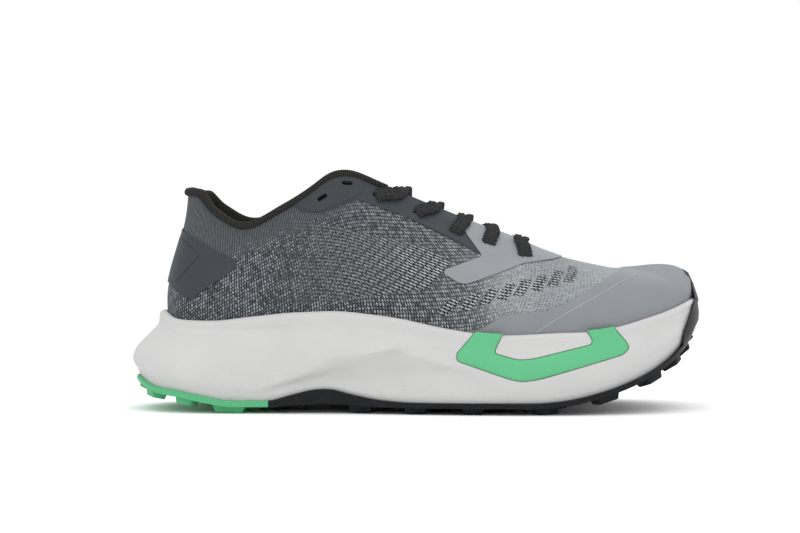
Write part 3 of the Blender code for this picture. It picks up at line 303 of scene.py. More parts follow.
# The sole's side below its lip, one row for each station: how far four lines stand out from the
# bite, as shares of SOLE_FLARE, and how high they lie, as shares of the side's own height.
SIDE_NAMES = (
    "neck_out", "neck_z", "ledge_out", "ledge_z", "hollow_out", "hollow_z", "foot_out", "foot_z",
)
SIDES = (
    (0.46, 0.79, 1.64, 0.42, 1.88, 0.24, 1.54, 0.07),
    (0.46, 0.80, 1.56, 0.42, 1.76, 0.24, 1.46, 0.07),
    (0.45, 0.82, 1.32, 0.40, 1.44, 0.23, 1.24, 0.07),
    (0.45, 0.85, 1.02, 0.37, 1.12, 0.20, 1.02, 0.06),
    (0.42, 0.85, 0.85, 0.33, 0.90, 0.16, 0.80, 0.05),
    (0.40, 0.84, 0.78, 0.28, 0.55, 0.14, 0.55, 0.05),
    (0.40, 0.83, 0.74, 0.47, 0.30, 0.18, 0.45, 0.05),
    (0.40, 0.83, 0.72, 0.63, 0.34, 0.35, 0.58, 0.07),
    (0.40, 0.83, 0.62, 0.52, 0.50, 0.42, 0.68, 0.08),
    (0.40, 0.84, 0.58, 0.50, 0.62, 0.30, 0.60, 0.07),
    (0.40, 0.84, 0.58, 0.50, 0.60, 0.28, 0.52, 0.07),
    (0.40, 0.84, 0.55, 0.50, 0.58, 0.28, 0.45, 0.07),
    (0.35, 0.84, 0.50, 0.50, 0.50, 0.28, 0.35, 0.07),
    (0.31, 0.84, 0.40, 0.50, 0.40, 0.30, 0.25, 0.07),
    (0.26, 0.84, 0.30, 0.50, 0.28, 0.30, 0.10, 0.08),
    (0.22, 0.84, 0.24, 0.50, 0.20, 0.30, 0.00, 0.08),
)

# Lugs on both sides of the middle line, as station, share of the way from there to the sole's
# edge, length and width in millimetres
HEEL_LUGS = (
    (0.00, 0.86, 9, 12),
    (1.35, 0.86, 9, 10),
    (2.40, 0.86, 9, 11),
    (3.45, 0.84, 16, 11),
    (2.20, 0.34, 9, 10),
    (3.50, 0.36, 9, 10),
)
FOREFOOT_LUGS = (
    (6.25, 0.86, 12, 12),
    (7.40, 0.86, 11, 13),
    (8.55, 0.86, 11, 13),
    (10.0, 0.86, 13, 13),
    (11.2, 0.86, 13, 13),
    (12.3, 0.86, 11, 12),
    (13.1, 0.84, 9, 11),
    (13.9, 0.84, 8, 10),
    (15.0, 0.84, 8, 11),
    (7.90, 0.42, 11, 12),
    (9.20, 0.44, 11, 12),
    (10.5, 0.42, 11, 12),
    (11.7, 0.42, 11, 12),
    (12.9, 0.40, 9, 10),
)
LUG_CORNERS = ((-0.5, -0.5), (0.5, -0.38), (0.5, 0.38), (-0.5, 0.5))
LUG_TAPER = ((-0.55 * RUBBER, 1.06), (LUG_DEPTH, 0.84))
HEEL_PAD = Vector((0, 0, 0))
FOREFOOT_PAD = Vector((121 * MM, -1 * MM, 0))
PAD_SIZE = (11 * MM, 14 * MM)
FLOOR = 0.0

TREAD_SPLIT = 10.5 * MM
HEEL_TREAD_END = -59.5 * MM

# The toe bumper's edge, seen from the side, as the overlays' outlines below. The tread climbs so
# many of the side's lines before it is cut: low round the sole, and all of them from BUMPER_START.
BUMPER_START = 12.5
LOW_CLIMB, MIDDLE_CLIMB, FULL_CLIMB = 0.5, 2.0, 10.0
BUMPER = (
    (0.957, -0.150), (0.978, -0.060), (0.989, 0.010), (0.988, 0.110), (0.975, 0.180), (1.05, 0.180),
)

ROWS = len(STATIONS)
LAP = 2 * (ROWS - 1)
TOE = ROWS - 1
THROAT_END = 12.0
COLLAR_END = 8
SPINE_SHARE = 0.83
WALL_ROWS = 5

# Flat overlays, seen from the side: (share of UPPER_LENGTH, share of INSTEP_HEIGHT above the bite)
TOE_CAP = (
    (0.571, -0.40), (0.571, 0.001), (0.621, 0.105), (0.638, 0.122), (0.704, 0.129), (0.738, 0.166),
    (0.813, 0.275), (0.856, 0.306), (0.893, 0.320), (0.903, 0.60), (1.200, 0.600), (1.200, -0.400),
)
EYESTAY_FRONT = (
    (0.519, 0.305), (0.519, 0.327), (0.589, 0.438), (0.559, 0.562), (0.548, 1.200), (0.755, 1.200),
    (0.755, 0.440), (0.720, 0.415), (0.663, 0.401), (0.610, 0.341), (0.562, 0.273), (0.547, 0.265),
)
EYESTAY_REAR = (
    (0.232, 0.620), (0.267, 0.567), (0.297, 0.560), (0.328, 0.595), (0.360, 0.644), (0.397, 0.614),
    (0.448, 0.584), (0.496, 0.546), (0.548, 0.496), (0.5865, 0.445), (0.556, 0.563), (0.545, 1.200),
    (0.200, 1.200),
)
HEEL_COUNTER = (
    (-0.20, 0.220), (-0.03, 0.220), (0.013, 0.168), (0.043, 0.127), (0.056, 0.127), (0.133, 0.276),
    (0.142, 0.297), (0.138, 0.335), (0.102, 0.391), (0.037, 0.502), (-0.03, 0.610), (-0.20, 0.610),
)

# Low raised forms on the films, as the outlines above, and the toe cap's fine line
EYESTAY_PATCH = (
    (0.2467, 0.608), (0.2816, 0.565), (0.2953, 0.566), (0.3645, 0.669), (0.3745, 0.703),
    (0.3705, 0.728), (0.350, 1.200), (0.220, 1.200),
)
HEEL_FACET = (
    (-0.20, 0.500), (0.030, 0.465), (0.0705, 0.374), (0.0266, 0.214), (-0.20, 0.100),
)
TOE_LINE = (
    (0.683, 0.012), (0.711, 0.065), (0.739, 0.113), (0.768, 0.160), (0.798, 0.199), (0.827, 0.226),
    (0.857, 0.243), (0.879, 0.250),
)

# The green side insert, seen from the side: (share of UPPER_LENGTH, share of the sole's side)
SIDE_INSERT = (
    (0.598, 1.300), (0.567, 0.955), (0.540, 0.684), (0.541, 0.591), (0.634, 0.369), (0.657, 0.330),
    (0.690, 0.366), (0.838, 0.530), (0.849, 0.604), (0.845, 0.706), (0.828, 0.924), (0.802, 1.300),
    (0.758, 1.300), (0.776, 0.976), (0.783, 0.858), (0.779, 0.805), (0.677, 0.653), (0.650, 0.639),
    (0.609, 0.737), (0.608, 0.790), (0.617, 0.947), (0.634, 1.300),
)

# Slots for the lace, seen from the side as the outlines above: the top two stay empty
SLOTS = (
    (0.297, 0.642), (0.342, 0.725), (0.397, 0.674), (0.472, 0.616), (0.540, 0.549), (0.601, 0.511),
    (0.667, 0.440),
)
EMPTY_SLOTS = 2

# How a strand comes up through its slot: how far off the upper's face and how far back along the
# strand it lies, in mm, and how much its flat face turns to its back and to the outside
SLOT_RISE = (
    (-3.6, -0.8, 1.0, 0.0),
    (-0.9, 0.3, 1.0, 0.2),
    (1.2, 0.1, 0.8, 1.0),
)
LACE_HOP = 0.3 * MM
LACE_SAG = 1.5 * MM
LACE_CROSS = 1.0 * MM


def looped(lateral, medial=None, mirrored=False):
    """Values once round the shoe: heel, outer side, toe, inner side."""
    medial = lateral if medial is None else medial
    sign = -1 if mirrored else 1
    return np.array([sign * v for v in lateral] + list(medial[-2:0:-1]), float)


def column(rows, names, name):
    """One named column of a table."""
    return [row[names.index(name)] for row in rows]


def flowing(values):
    """A closed curve with even curvature through the values at 0, 1, 2 and so on."""
    count = len(values)
    eye = np.eye(count)
    matrix = 4 * eye + np.roll(eye, 1, 1) + np.roll(eye, -1, 1)
    bend = np.linalg.solve(matrix, 6 * (np.roll(values, -1) - 2 * values + np.roll(values, 1)))

    def at(t):
        i = math.floor(t)
        f = t - i
        a, b = values[i % count], values[(i + 1) % count]
        p, q = bend[i % count], bend[(i + 1) % count]
        return a + f * (b - a) - f * (1 - f) * ((2 - f) * p + (1 + f) * q) / 6

    return at


def limited_slopes(left, right):
    """Slopes that never make a curve overshoot the values beside it."""
    even = (left + right) / 2
    limit = 3 * np.minimum(np.abs(left), np.abs(right))
    slopes = np.sign(even) * np.minimum(np.abs(even), limit)
    return np.where(left * right > 0, slopes, 0.0)


def hermite(a, b, slope_a, slope_b, f):
    """A cubic from a to b with the slopes given over the whole step."""
    return (
        a * (1 + 2 * f) * (1 - f) ** 2
        + b * f * f * (3 - 2 * f)
        + slope_a * f * (1 - f) ** 2
        - slope_b * f * f * (1 - f)
    )


def steady(values):
    """A closed curve through the values that never overshoots them."""
    count = len(values)
    slopes = limited_slopes(values - np.roll(values, 1), np.roll(values, -1) - values)

    def at(t):
        i = math.floor(t)
        a, b = i % count, (i + 1) % count
        return hermite(values[a], values[b], slopes[a], slopes[b], t - i)

    return at


def graph(places, values):
    """An open curve over uneven places that never overshoots its values."""
    places, values = np.array(places, float), np.array(values, float)
    step = np.diff(places)
    rate = np.diff(values) / step
    slopes = np.concatenate([[0], limited_slopes(rate[:-1], rate[1:]), [rate[-1]]])

    def at(place):
        i = int(np.clip(np.searchsorted(places, place) - 1, 0, len(step) - 1))
        f = min(max((place - places[i]) / step[i], 0.0), 1.0)
        return hermite(values[i], values[i + 1], slopes[i] * step[i], slopes[i + 1] * step[i], f)

    return at


def profile_curve(name):
    return graph(column(PROFILE, PROFILE_NAMES, "along"), column(PROFILE, PROFILE_NAMES, name))


HEEL_LIFT, ARCH_LIFT, TOE_LIFT, DROP, TOE_FLOOR = (profile_curve(n) for n in PROFILE_NAMES[1:])


def along(x):
    """Where x lies, as a share of UPPER_LENGTH from the heel back."""
    return (x - HEEL_BACK) / UPPER_LENGTH


def place(share):
    """The x of a share of UPPER_LENGTH."""
    return HEEL_BACK + share * UPPER_LENGTH


def sole_bottom(x):
    """Height of the foam's underside."""
    s = along(x)
    lift = HEEL_SPRING * HEEL_LIFT(s) + ARCH_RISE * ARCH_LIFT(s) + TOE_SPRING * TOE_LIFT(s)
    return SOLE_BASE + lift


def bottom_normal(x):
    """The direction that points out of the foam's underside."""
    slope = (sole_bottom(x + MM) - sole_bottom(x - MM)) / (2 * MM)
    return Vector((slope, 0, -1)).normalized()


def tread_base(x, thick=1):
    """Height of the rubber's underside between the lugs, or with thick 0 of its upper face."""
    clear = (GAP + RUBBER * thick) / -bottom_normal(x).z
    return sole_bottom(x) - clear - ARCH_RUBBER * ARCH_LIFT(along(x)) * thick


@lru_cache(None)
def cup_floor(x):
    """Height of the foam under the foot."""
    s = along(x)
    return SOLE_BASE + FOREFOOT_STACK + HEEL_DROP * DROP(s) + TOE_SPRING * TOE_FLOOR(s)


def station_curve(kind, name, medial=None, mirrored=False):
    lateral_side = column(STATIONS, STATION_NAMES, name)
    medial_side = column(STATIONS, STATION_NAMES, medial or name)
    return kind(looped(lateral_side, medial_side, mirrored))


BITE_X = station_curve(flowing, "bite_x")
BITE_Y = station_curve(flowing, "bite_lat", "bite_med", mirrored=True)
BITE_Z = station_curve(steady, "bite_z")
EDGE_X = station_curve(flowing, "edge_x")
RIDGE_Y = station_curve(flowing, "ridge_y")
THROAT_GAP = station_curve(steady, "gap_lat", "gap_med")
HEEL_Z = station_curve(steady, "heel_z")
INSTEP_Z = station_curve(steady, "instep_lat", "instep_med")
RISE, SWELL, REACH, PULL = (steady(looped(column(BULGES, BULGE_NAMES, n))) for n in BULGE_NAMES)
SIDE = {name: steady(looped(column(SIDES, SIDE_NAMES, name))) for name in SIDE_NAMES}


def side_of(t):
    """-1 on the outer side of the shoe, 1 on the inner side."""
    return -1 if t % LAP <= TOE else 1


def row_of(t):
    """The station, 0 at the heel and TOE at the toe tip, on either side."""
    t = t % LAP
    return min(t, LAP - t)


@lru_cache(None)
def bite(t):
    x = place(BITE_X(t))
    return Vector((x, HALF_BALL * BITE_Y(t), cup_floor(x) + CUP_DEPTH * BITE_Z(t)))


@lru_cache(None)
def outward(t):
    """The level direction that points out of the shoe at the bite."""
    step = bite(t + 0.02) - bite(t - 0.02)
    return Vector((step.y, -step.x, 0)).normalized()


def throat_gap(t):
    """Half the throat's width, with a round end at the front."""
    last_open = THROAT_END - 1
    share = min(max(row_of(t) - last_open, 0.0), 1.0)
    if share == 0:
        return HALF_BALL * THROAT_GAP(t)
    at_last_open = last_open if side_of(t) < 0 else LAP - last_open
    return HALF_BALL * THROAT_GAP(at_last_open) * math.sqrt(1 - share * share)


@lru_cache(None)
def edge(t):
    x = place(EDGE_X(t))
    y = HALF_BALL * RIDGE_Y(t) + side_of(t) * throat_gap(t)
    z = cup_floor(x) + HEEL_HEIGHT * HEEL_Z(t) + INSTEP_HEIGHT * INSTEP_Z(t)
    return Vector((x, y, z))


@lru_cache(None)
def ridge_slope(t):
    """The vamp ridge's climb, eased out towards the collar."""
    row = row_of(t)
    weight = min(max((row - 8) / 3, 0.0), 1.0)
    if weight == 0:
        return 0.0
    ahead, behind = edge(min(row + 0.3, TOE)), edge(row - 0.3)
    return weight * (ahead.z - behind.z) / (ahead.x - behind.x)


@lru_cache(None)
def bulge(t):
    """The four guides of the upper's curve from the bite to the edge."""
    start, out, end = bite(t), outward(t), edge(t)
    handle = start + out * HALF_BALL * SWELL(t)
    handle.z += INSTEP_HEIGHT * RISE(t)
    reach = HALF_BALL * REACH(t)
    pull = end + Vector((out.x, out.y, out.x * ridge_slope(t))) * reach
    pull.z -= INSTEP_HEIGHT * PULL(t)
    return start, handle, pull, end


@lru_cache(None)
def upper_skin(t, v):
    """The upper's outer face. v is -1 at the cup's floor, 0 at the bite and 1 at the edge."""
    start, handle, pull, end = bulge(t)
    if v < 0:
        foot = start - outward(t) * CUP_TAPER * v * v
        foot.z = start.z + v * (start.z - cup_floor(foot.x) - GAP)
        return foot
    w = 1 - v
    return start * w**3 + handle * (3 * w * w * v) + pull * (3 * w * v * v) + end * v**3


@lru_cache(None)
def upper_normal(t, v):
    if v >= 1 and row_of(t) >= THROAT_END:
        return Vector((-ridge_slope(t), 0, 1)).normalized()
    low, high = max(v - 0.02, -1.0), min(v + 0.02, 1.0)
    along_shoe = upper_skin(t + 0.03, v) - upper_skin(t - 0.03, v)
    return along_shoe.cross(upper_skin(t, high) - upper_skin(t, low)).normalized()


def upper_at(t, v, off=0.0):
    """A point at a distance off the upper's outer face."""
    return upper_skin(t, v) + upper_normal(t, v) * off


def wall_at(t, v, off=0.0):
    """The same, on the flat facets between the upper's own rows of points."""
    row = v * WALL_ROWS
    i = min(int(row), WALL_ROWS - 1)
    low, high = upper_at(t, i / WALL_ROWS, off), upper_at(t, (i + 1) / WALL_ROWS, off)
    return low.lerp(high, row - i)


@lru_cache(None)
def below_edge(t, distance):
    """The v that lies a distance down the wall from the edge."""
    left = distance
    for i in range(WALL_ROWS, 0, -1):
        low, high = (i - 1) / WALL_ROWS, i / WALL_ROWS
        length = (upper_skin(t, high) - upper_skin(t, low)).length
        if length >= left:
            return high - (high - low) * left / length
        left -= length
    return 0.0


def side_profile(t):
    """The foam's side from its bottom edge up to the lip, as (out, z) from the bite."""
    top = bite(t)
    foot_out = SOLE_FLARE * SIDE["foot_out"](t)
    bottom = sole_bottom((top + outward(t) * foot_out).x)
    height = top.z - bottom
    lines = [(foot_out - 0.06 * SOLE_FLARE, bottom)]
    for name in ("foot", "hollow", "ledge", "neck"):
        out = SOLE_FLARE * SIDE[name + "_out"](t)
        lines.append((out, bottom + height * SIDE[name + "_z"](t)))
    lip = LIP * min(1.0, 0.35 + SIDE["neck_out"](t) * 1.5)
    lines.append((lip, top.z - 0.10 * height))
    lines.append((lip, top.z - 0.03 * height))
    lines.append((0.45 * lip, top.z + 0.4 * MM))
    return lines


def on_side(t, out, z):
    point = bite(t) + outward(t) * out
    point.z = z
    return point


def spine(t):
    """The middle line of the sole, which both sides' columns end on."""
    row = row_of(t)
    middle = place(0.5)
    x = middle + (bite(row).x - middle) * SPINE_SHARE
    return Vector((x, (bite(row).y + bite(LAP - row).y) / 2, 0))


def steps(first, last, per_row):
    """Stations from first to last, ends included."""
    count = round((last - first) * per_row)
    return [first + (last - first) * i / count for i in range(count + 1)]


def mesh_object(name, verts, faces, collection):
    mesh = bpy.data.meshes.new(name)
    mesh.from_pydata([tuple(v) for v in verts], [], faces)
    shape = bmesh.new()
    shape.from_mesh(mesh)
    bmesh.ops.remove_doubles(shape, verts=shape.verts, dist=MERGE)
    if not any(edge.is_boundary for edge in shape.edges):
        bmesh.ops.recalc_face_normals(shape, faces=shape.faces)
    shape.to_mesh(mesh)
    shape.free()
    obj = bpy.data.objects.new(name, mesh)
    collection.objects.link(obj)
    return obj


def grid_faces(columns, rows, start=0, flip=False, closed=False):
    """Triangles between neighbouring columns of points that are numbered column by column. Their
    diagonals all run one way, so that two skins over the same grid stay parallel."""
    faces = []
    for c in range(columns if closed else columns - 1):
        for r in range(rows - 1):
            a, b = start + c * rows + r, start + (c + 1) % columns * rows + r
            for corners in ((a, b, b + 1), (a, b + 1, a + 1)):
                faces.append(corners[::-1] if flip else corners)
    return faces


def slab(name, outer, inner, collection, sealed=None, closed=False):
    """A solid between two skins made of columns. sealed: for each column, whether its last point
    meets the column across, so that no wall is needed there. closed: the columns form a ring."""
    columns, rows = len(outer), len(outer[0])
    top, back = rows - 1, columns * rows
    sealed = sealed or [False] * columns
    verts = [p for points in outer + inner for p in points]
    faces = grid_faces(columns, rows, closed=closed)
    faces += grid_faces(columns, rows, back, flip=True, closed=closed)
    for c in range(columns if closed else columns - 1):
        beside = (c + 1) % columns
        a, b = c * rows, beside * rows
        faces.append((a, b, back + b, back + a))
        if not (sealed[c] and sealed[beside]):
            faces.append((a + top, b + top, back + b + top, back + a + top))
    for c in () if closed else (0, columns - 1):
        for r in range(rows - 1):
            a = c * rows + r
            faces.append((a, a + 1, back + a + 1, back + a))
    return mesh_object(name, verts, faces, collection)


def boolean(obj, other, operation, solver="EXACT"):
    """Cuts or joins two meshes and keeps the result as the first object's own mesh."""
    modifier = obj.modifiers.new(operation.title(), "BOOLEAN")
    modifier.operation = operation
    modifier.solver = solver
    modifier.object = other
    bpy.context.view_layer.update()
    cut = bpy.data.meshes.new_from_object(obj.evaluated_get(bpy.context.evaluated_depsgraph_get()))
    obj.modifiers.clear()
    obj.data = cut
    return obj


def arc(before, here, after, radius, parts):
    """The short arc that takes a corner's place, with a number of points."""
    into, out = before - here, after - here
    reach = min(radius, CORNER_SHARE * into.length, CORNER_SHARE * out.length)
    a, b = here + into.normalized() * reach, here + out.normalized() * reach
    shares = [k / (parts - 1) for k in range(parts)]
    return [a * (1 - f) ** 2 + here * 2 * f * (1 - f) + b * f * f for f in shares]


def rounded(corners, radius):
    """A closed outline with each of its corners turned into an arc."""
    corners = [Vector(corner) for corner in corners]
    outline = []
    for i, here in enumerate(corners):
        outline += arc(corners[i - 1], here, corners[(i + 1) % len(corners)], radius, OUTLINE_ARC)
    return outline


def prism(name, outline, low_y, high_y, collection):
    """A cutter with an outline in X and Z, from low_y to high_y."""
    shape = bmesh.new()
    face = shape.faces.new([shape.verts.new((p[0], low_y, p[1])) for p in outline])
    made = bmesh.ops.extrude_face_region(shape, geom=[face])
    moved = [v for v in made["geom"] if isinstance(v, bmesh.types.BMVert)]
    bmesh.ops.translate(shape, verts=moved, vec=(0, high_y - low_y, 0))
    bmesh.ops.recalc_face_normals(shape, faces=shape.faces)
    mesh = bpy.data.meshes.new(name)
    shape.to_mesh(mesh)
    shape.free()
    obj = bpy.data.objects.new(name, mesh)
    collection.objects.link(obj)
    obj.hide_render = True
    obj.display_type = "WIRE"
    return obj


def bite_height(share):
    """Height of the outer side's bite at a share of UPPER_LENGTH."""
    share = min(max(share, 0.0), 1.0)
    low, high = 0.0, float(TOE)
    for _ in range(30):
        middle = (low + high) / 2
        if BITE_X(middle) < share:
            low = middle
        else:
            high = middle
    return bite(low).z


def upper_outline(rows, radius=2 * MM):
    """An overlay's outline in X and Z."""
    points = [(place(s), bite_height(s) + INSTEP_HEIGHT * h) for s, h in rows]
    return rounded(points, radius)


def insert_outline(rows, radius, grow=0.0):
    """The side insert's outline in X and Z, grown outward by a clearance."""
    points = []
    for s, h in rows:
        low = sole_bottom(place(s))
        points.append(Vector((place(s), low + h * (bite_height(s) - low))))
    grown = []
    for i, here in enumerate(points):
        before, after = points[i - 1], points[(i + 1) % len(points)]
        first, second = (here - before).normalized(), (after - here).normalized()
        square = Vector((-first.y - second.y, first.x + second.x))
        grown.append(here - square * grow / (square.length_squared / 2))
    return rounded(grown, radius)


def tread_rows(t, climb, thick):
    """One column of the tread from its rim to the spine. climb: how many of the side's lines it
    climbs. thick: 0 on the foam's side and 1 on the ground side."""
    flat = outward(t)
    line = [on_side(t, out, z) for out, z in side_profile(t)[:-1]]
    line += [upper_at(t, i / WALL_ROWS, BUMPER_SEAT) for i in range(1, WALL_ROWS)]
    normals = []
    for i in range(len(line)):
        rise = line[min(i + 1, len(line) - 1)] - line[max(i - 1, 0)]
        tilt = Vector((flat.x * rise.z, flat.y * rise.z, -rise.dot(flat)))
        normals.append(tilt.normalized())
    rim = []
    for k in range(len(line) - 1, 0, -1):
        at = min(float(k), climb)
        share = min(max((at - 1) / 4, 0.0), 1.0)
        reach = GAP * (1 - share) + (RUBBER + (BUMPER_THICK - RUBBER) * share) * thick
        i = min(int(at), len(line) - 2)
        normal = normals[i].lerp(normals[i + 1], at - i).normalized()
        rim.append(line[i].lerp(line[i + 1], at - i) + normal * reach)
    under = bottom_normal(line[0].x)
    mitre = (normals[0] + under) / (1 + normals[0].dot(under))
    corner = line[0] + mitre * (GAP + RUBBER * thick)
    corner.z -= ARCH_RUBBER * ARCH_LIFT(along(corner.x)) * thick
    middle = spine(t)
    inset = line[0] - flat * BASE_INSET
    rows = [inset, (inset + middle) / 2, middle]
    for point in rows:
        point.z = tread_base(point.x, thick)
    return rim + [corner] + rows


def tread_climb(t):
    """How many of the side's lines the tread climbs before it is cut: all of them at the toe."""
    row = row_of(t)
    if row >= BUMPER_START:
        return FULL_CLIMB
    return MIDDLE_CLIMB if row >= BUMPER_START - 1 else LOW_CLIMB


RIM_HEIGHT = graph(*zip(*RIM_HEIGHTS))


def tread_outline(low, high):
    """What is kept of a tread, in X and Z: a rim on the sole's side, and the toe bumper."""
    floor = -INSTEP_HEIGHT
    rim_end = place(BUMPER[0][0])
    last = min(high, rim_end)
    points = [(low, floor)]
    for x in np.linspace(low, last, 40):
        points.append((float(x), sole_bottom(x) + RIM_HEIGHT(x / MM) * MM))
    if high > rim_end:
        points += [(place(s), bite_height(s) + INSTEP_HEIGHT * h) for s, h in BUMPER]
    return points + [(high, floor)]


def lug_at(spot, turn, length, width):
    """A tapered lug under a spot on the tread, as two rings of points."""
    spot = Vector((spot.x, spot.y, tread_base(spot.x)))
    climb = tread_base(spot.x + MM) - tread_base(spot.x - MM)
    ahead = Vector((2 * MM, 0, climb)).normalized()
    across = Vector((0, 1, 0))
    down = across.cross(ahead)
    rings = []
    for sink, size in LUG_TAPER:
        ring = []
        for u, w in LUG_CORNERS:
            a, b = u * length * size, w * width * size
            flat = ahead * (a * math.cos(turn) - b * math.sin(turn))
            flat += across * (a * math.sin(turn) + b * math.cos(turn))
            corner = spot + flat + down * sink
            corner.z = max(corner.z, FLOOR)
            ring.append(corner)
        rings.append(ring)
    return rings


def lug(t, reach, length, width):
    """A lug at a share of the way from the spine to the sole's edge, in line with that edge."""
    spot = spine(t).lerp(on_side(t, *side_profile(t)[0]), reach)
    out = outward(t)
    return lug_at(spot, math.atan2(out.y, out.x) + math.pi / 2, length, width)


def paired_lugs(rows):
    """Lugs on both sides of the shoe from rows of station, reach, length and width."""
    lugs = []
    for station, reach, length, width in rows:
        for t in sorted({station, -station if station else 0.0}):
            lugs.append(lug(t, reach, length * MM, width * MM))
    return lugs


@lru_cache(None)
def collar_ring(t):
    """The section of the padded collar: a roll over the edge and a lining inside the wall."""
    row = row_of(t)
    fade = min(max((row - 4.5) / 2.5, 0.0), 1.0)
    depth = LINING_DEPTH * (1 - fade) + 5 * MM * fade
    pad = COLLAR_PAD * (1 - fade) + 1.0 * MM * fade
    inside = -UPPER_WALL - GAP - COLLAR_PLAY
    top, tip = upper_at(t, 1.0), upper_normal(t, 1.0)
    up = (upper_skin(t, 1.0) - upper_skin(t, 0.97)).normalized()

    def above(off, height):
        return top + tip * off + up * height

    def down(off, distance):
        return wall_at(t, below_edge(t, distance), off)

    return [
        down(0.1 * MM, CUFF_LAP),
        down(GAP + 0.8 * COLLAR_ROLL, CUFF_LAP - 0.5 * MM),
        above(GAP + COLLAR_ROLL, -0.4 * MM),
        above(0.5 * GAP, 1.2 * MM),
        above(inside - pad * 0.55, 1.0 * MM),
        down(inside - pad, depth * 0.10),
        down(inside - pad, depth * 0.32),
        down(inside - pad, depth * 0.58),
        down(inside - 0.8 * MM, depth * 0.98),
        down(inside, depth),
        down(inside, depth * 0.5),
        above(inside, -0.2 * MM),
        above(0.2 * MM, -0.2 * MM),
    ]


def tongue_row(row):
    """The tongue's upper face across the throat, from the inner side to the outer side."""
    wing = -UPPER_WALL - GAP - TONGUE_DROP
    sides = (LAP - row, row)
    tips, tucked, edges = (
        [upper_at(t, below_edge(t, depth), wing) for t in sides] for depth in TONGUE_TUCKS
    )
    crown = (edges[0] + edges[1]) / 2
    climb = upper_skin(row, 1.0).z - upper_skin(row, 0.97).z
    crown.z += TONGUE_DROP + TONGUE_CREST * (TONGUE_CROWN + max(0.0, climb))
    near = [crown.lerp(point, 0.5) for point in edges]
    for point in near:
        point.z += TONGUE_CREST * TONGUE_CROWN / 2
    half = [tips, tucked, edges, near]
    return [pair[0] for pair in half] + [crown] + [pair[1] for pair in half[::-1]]


def find_on_upper(x, z, side):
    """The station and v where the upper passes a point seen from the side."""

    def miss(row, v):
        point = upper_skin(row if side < 0 else LAP - row, v)
        return (point.x - x) ** 2 + (point.z - z) ** 2

    best = min(((miss(i / 5, k / 25), i / 5, k / 25) for i in range(12, 73) for k in range(5, 26)))
    row_step, v_step = 0.1, 0.02
    while row_step > 0.002:
        _, row, v = best
        tries = [
            (row + a * row_step, min(v + b * v_step, 1.0)) for a in (-1, 0, 1) for b in (-1, 0, 1)
        ]
        nearer = min((miss(*spot), *spot) for spot in tries)
        if nearer[0] >= best[0]:
            row_step, v_step = row_step / 2, v_step / 2
        else:
            best = nearer
    _, row, v = best
    return (row if side < 0 else LAP - row), v


def spot_on_upper(share, height, side):
    """The same for shares of UPPER_LENGTH and, above the bite, of INSTEP_HEIGHT."""
    return find_on_upper(place(share), bite_height(share) + INSTEP_HEIGHT * height, side)


# Modelling helpers


def only(obj):
    """Selects one object and makes it the active one."""
    bpy.ops.object.select_all(action="DESELECT")
    obj.select_set(True)
    bpy.context.view_layer.objects.active = obj
    return obj


def apply_modifier(obj, kind, **settings):
    """Adds a modifier, sets it up and applies it."""
    only(obj)
    modifier = obj.modifiers.new(kind.title(), kind)
    for name, value in settings.items():
        setattr(modifier, name, value)
    bpy.ops.object.modifier_apply(modifier=modifier.name)
    return obj


def edit_whole(obj, operator, **settings):
    """Runs one mesh operator on the whole of an object."""
    only(obj)
    bpy.ops.object.mode_set(mode="EDIT")
    bpy.ops.mesh.select_all(action="SELECT")
    operator(**settings)
    bpy.ops.object.mode_set(mode="OBJECT")
    return obj


def merge_close(obj):
    """Merges points that lie together, as along a closed form's seam."""
    return edit_whole(obj, bpy.ops.mesh.remove_doubles, threshold=MERGE)


def fill_holes(obj):
    return edit_whole(obj, bpy.ops.mesh.fill_holes, sides=0)


def face_outwards(obj):
    return edit_whole(obj, bpy.ops.mesh.normals_make_consistent, inside=False)


def joined_mesh(parts):
    """Joins objects into the first of them."""
    bpy.ops.object.select_all(action="DESELECT")
    for part in parts:
        part.select_set(True)
    bpy.context.view_layer.objects.active = parts[0]
    bpy.ops.object.join()
    return face_outwards(parts[0])


def cut_away(obj, *cutters):
    for cutter in cutters:
        boolean(obj, cutter, "DIFFERENCE", "MANIFOLD")
    return obj


def smooth(obj, degrees=40):
    only(obj)
    bpy.ops.object.shade_smooth_by_angle(angle=math.radians(degrees))
    return obj


def wrapped_grid(name, across, up, lay, level=0):
    """A grid primitive laid on the shoe. lay turns the shares across and up into a place. The
    piece's UV map holds how far each point lies across and up the cloth, in units of 100 mm,
    with the row called level at its own height over the floor."""
    bpy.ops.object.select_all(action="DESELECT")
    bpy.ops.mesh.primitive_grid_add(x_subdivisions=across, y_subdivisions=up, size=1)
    obj = bpy.context.object
    obj.name = obj.data.name = name
    order = {}
    for vert in obj.data.vertices:
        i, j = round((vert.co.x + 0.5) * across), round((vert.co.y + 0.5) * up)
        order[vert.index] = (i, j)
        vert.co = lay(i / across, j / up)
    spots = np.zeros((across + 1, up + 1, 3))
    for index, (i, j) in order.items():
        spots[i, j] = obj.data.vertices[index].co
    climb = np.linalg.norm(np.diff(spots, axis=1), axis=2)
    high = np.concatenate([np.zeros((across + 1, 1)), np.cumsum(climb, axis=1)], axis=1)
    high += (spots[:, level, 2] - high[:, level])[:, None]
    walk = np.linalg.norm(np.diff(spots[:, up // 2], axis=0), axis=1)
    far = np.concatenate([[0], np.cumsum(walk)])
    layer = obj.data.uv_layers[0]
    layer.name = CLOTH
    for loop in obj.data.loops:
        i, j = order[loop.vertex_index]
        layer.data[loop.index].uv = (far[i] / CLOTH_UNIT, high[i, j] / CLOTH_UNIT)
    return obj


def finish_piece(obj, material, slot, *nodes):
    """Gives a finished piece its material and ties it to the frame."""
    obj.data.materials.clear()
    obj.data.materials.append(material)
    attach(obj, "root")
    if nodes:
        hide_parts(*nodes)
    return obj


def remove(*objects):
    for obj in objects:
        bpy.data.objects.remove(obj)


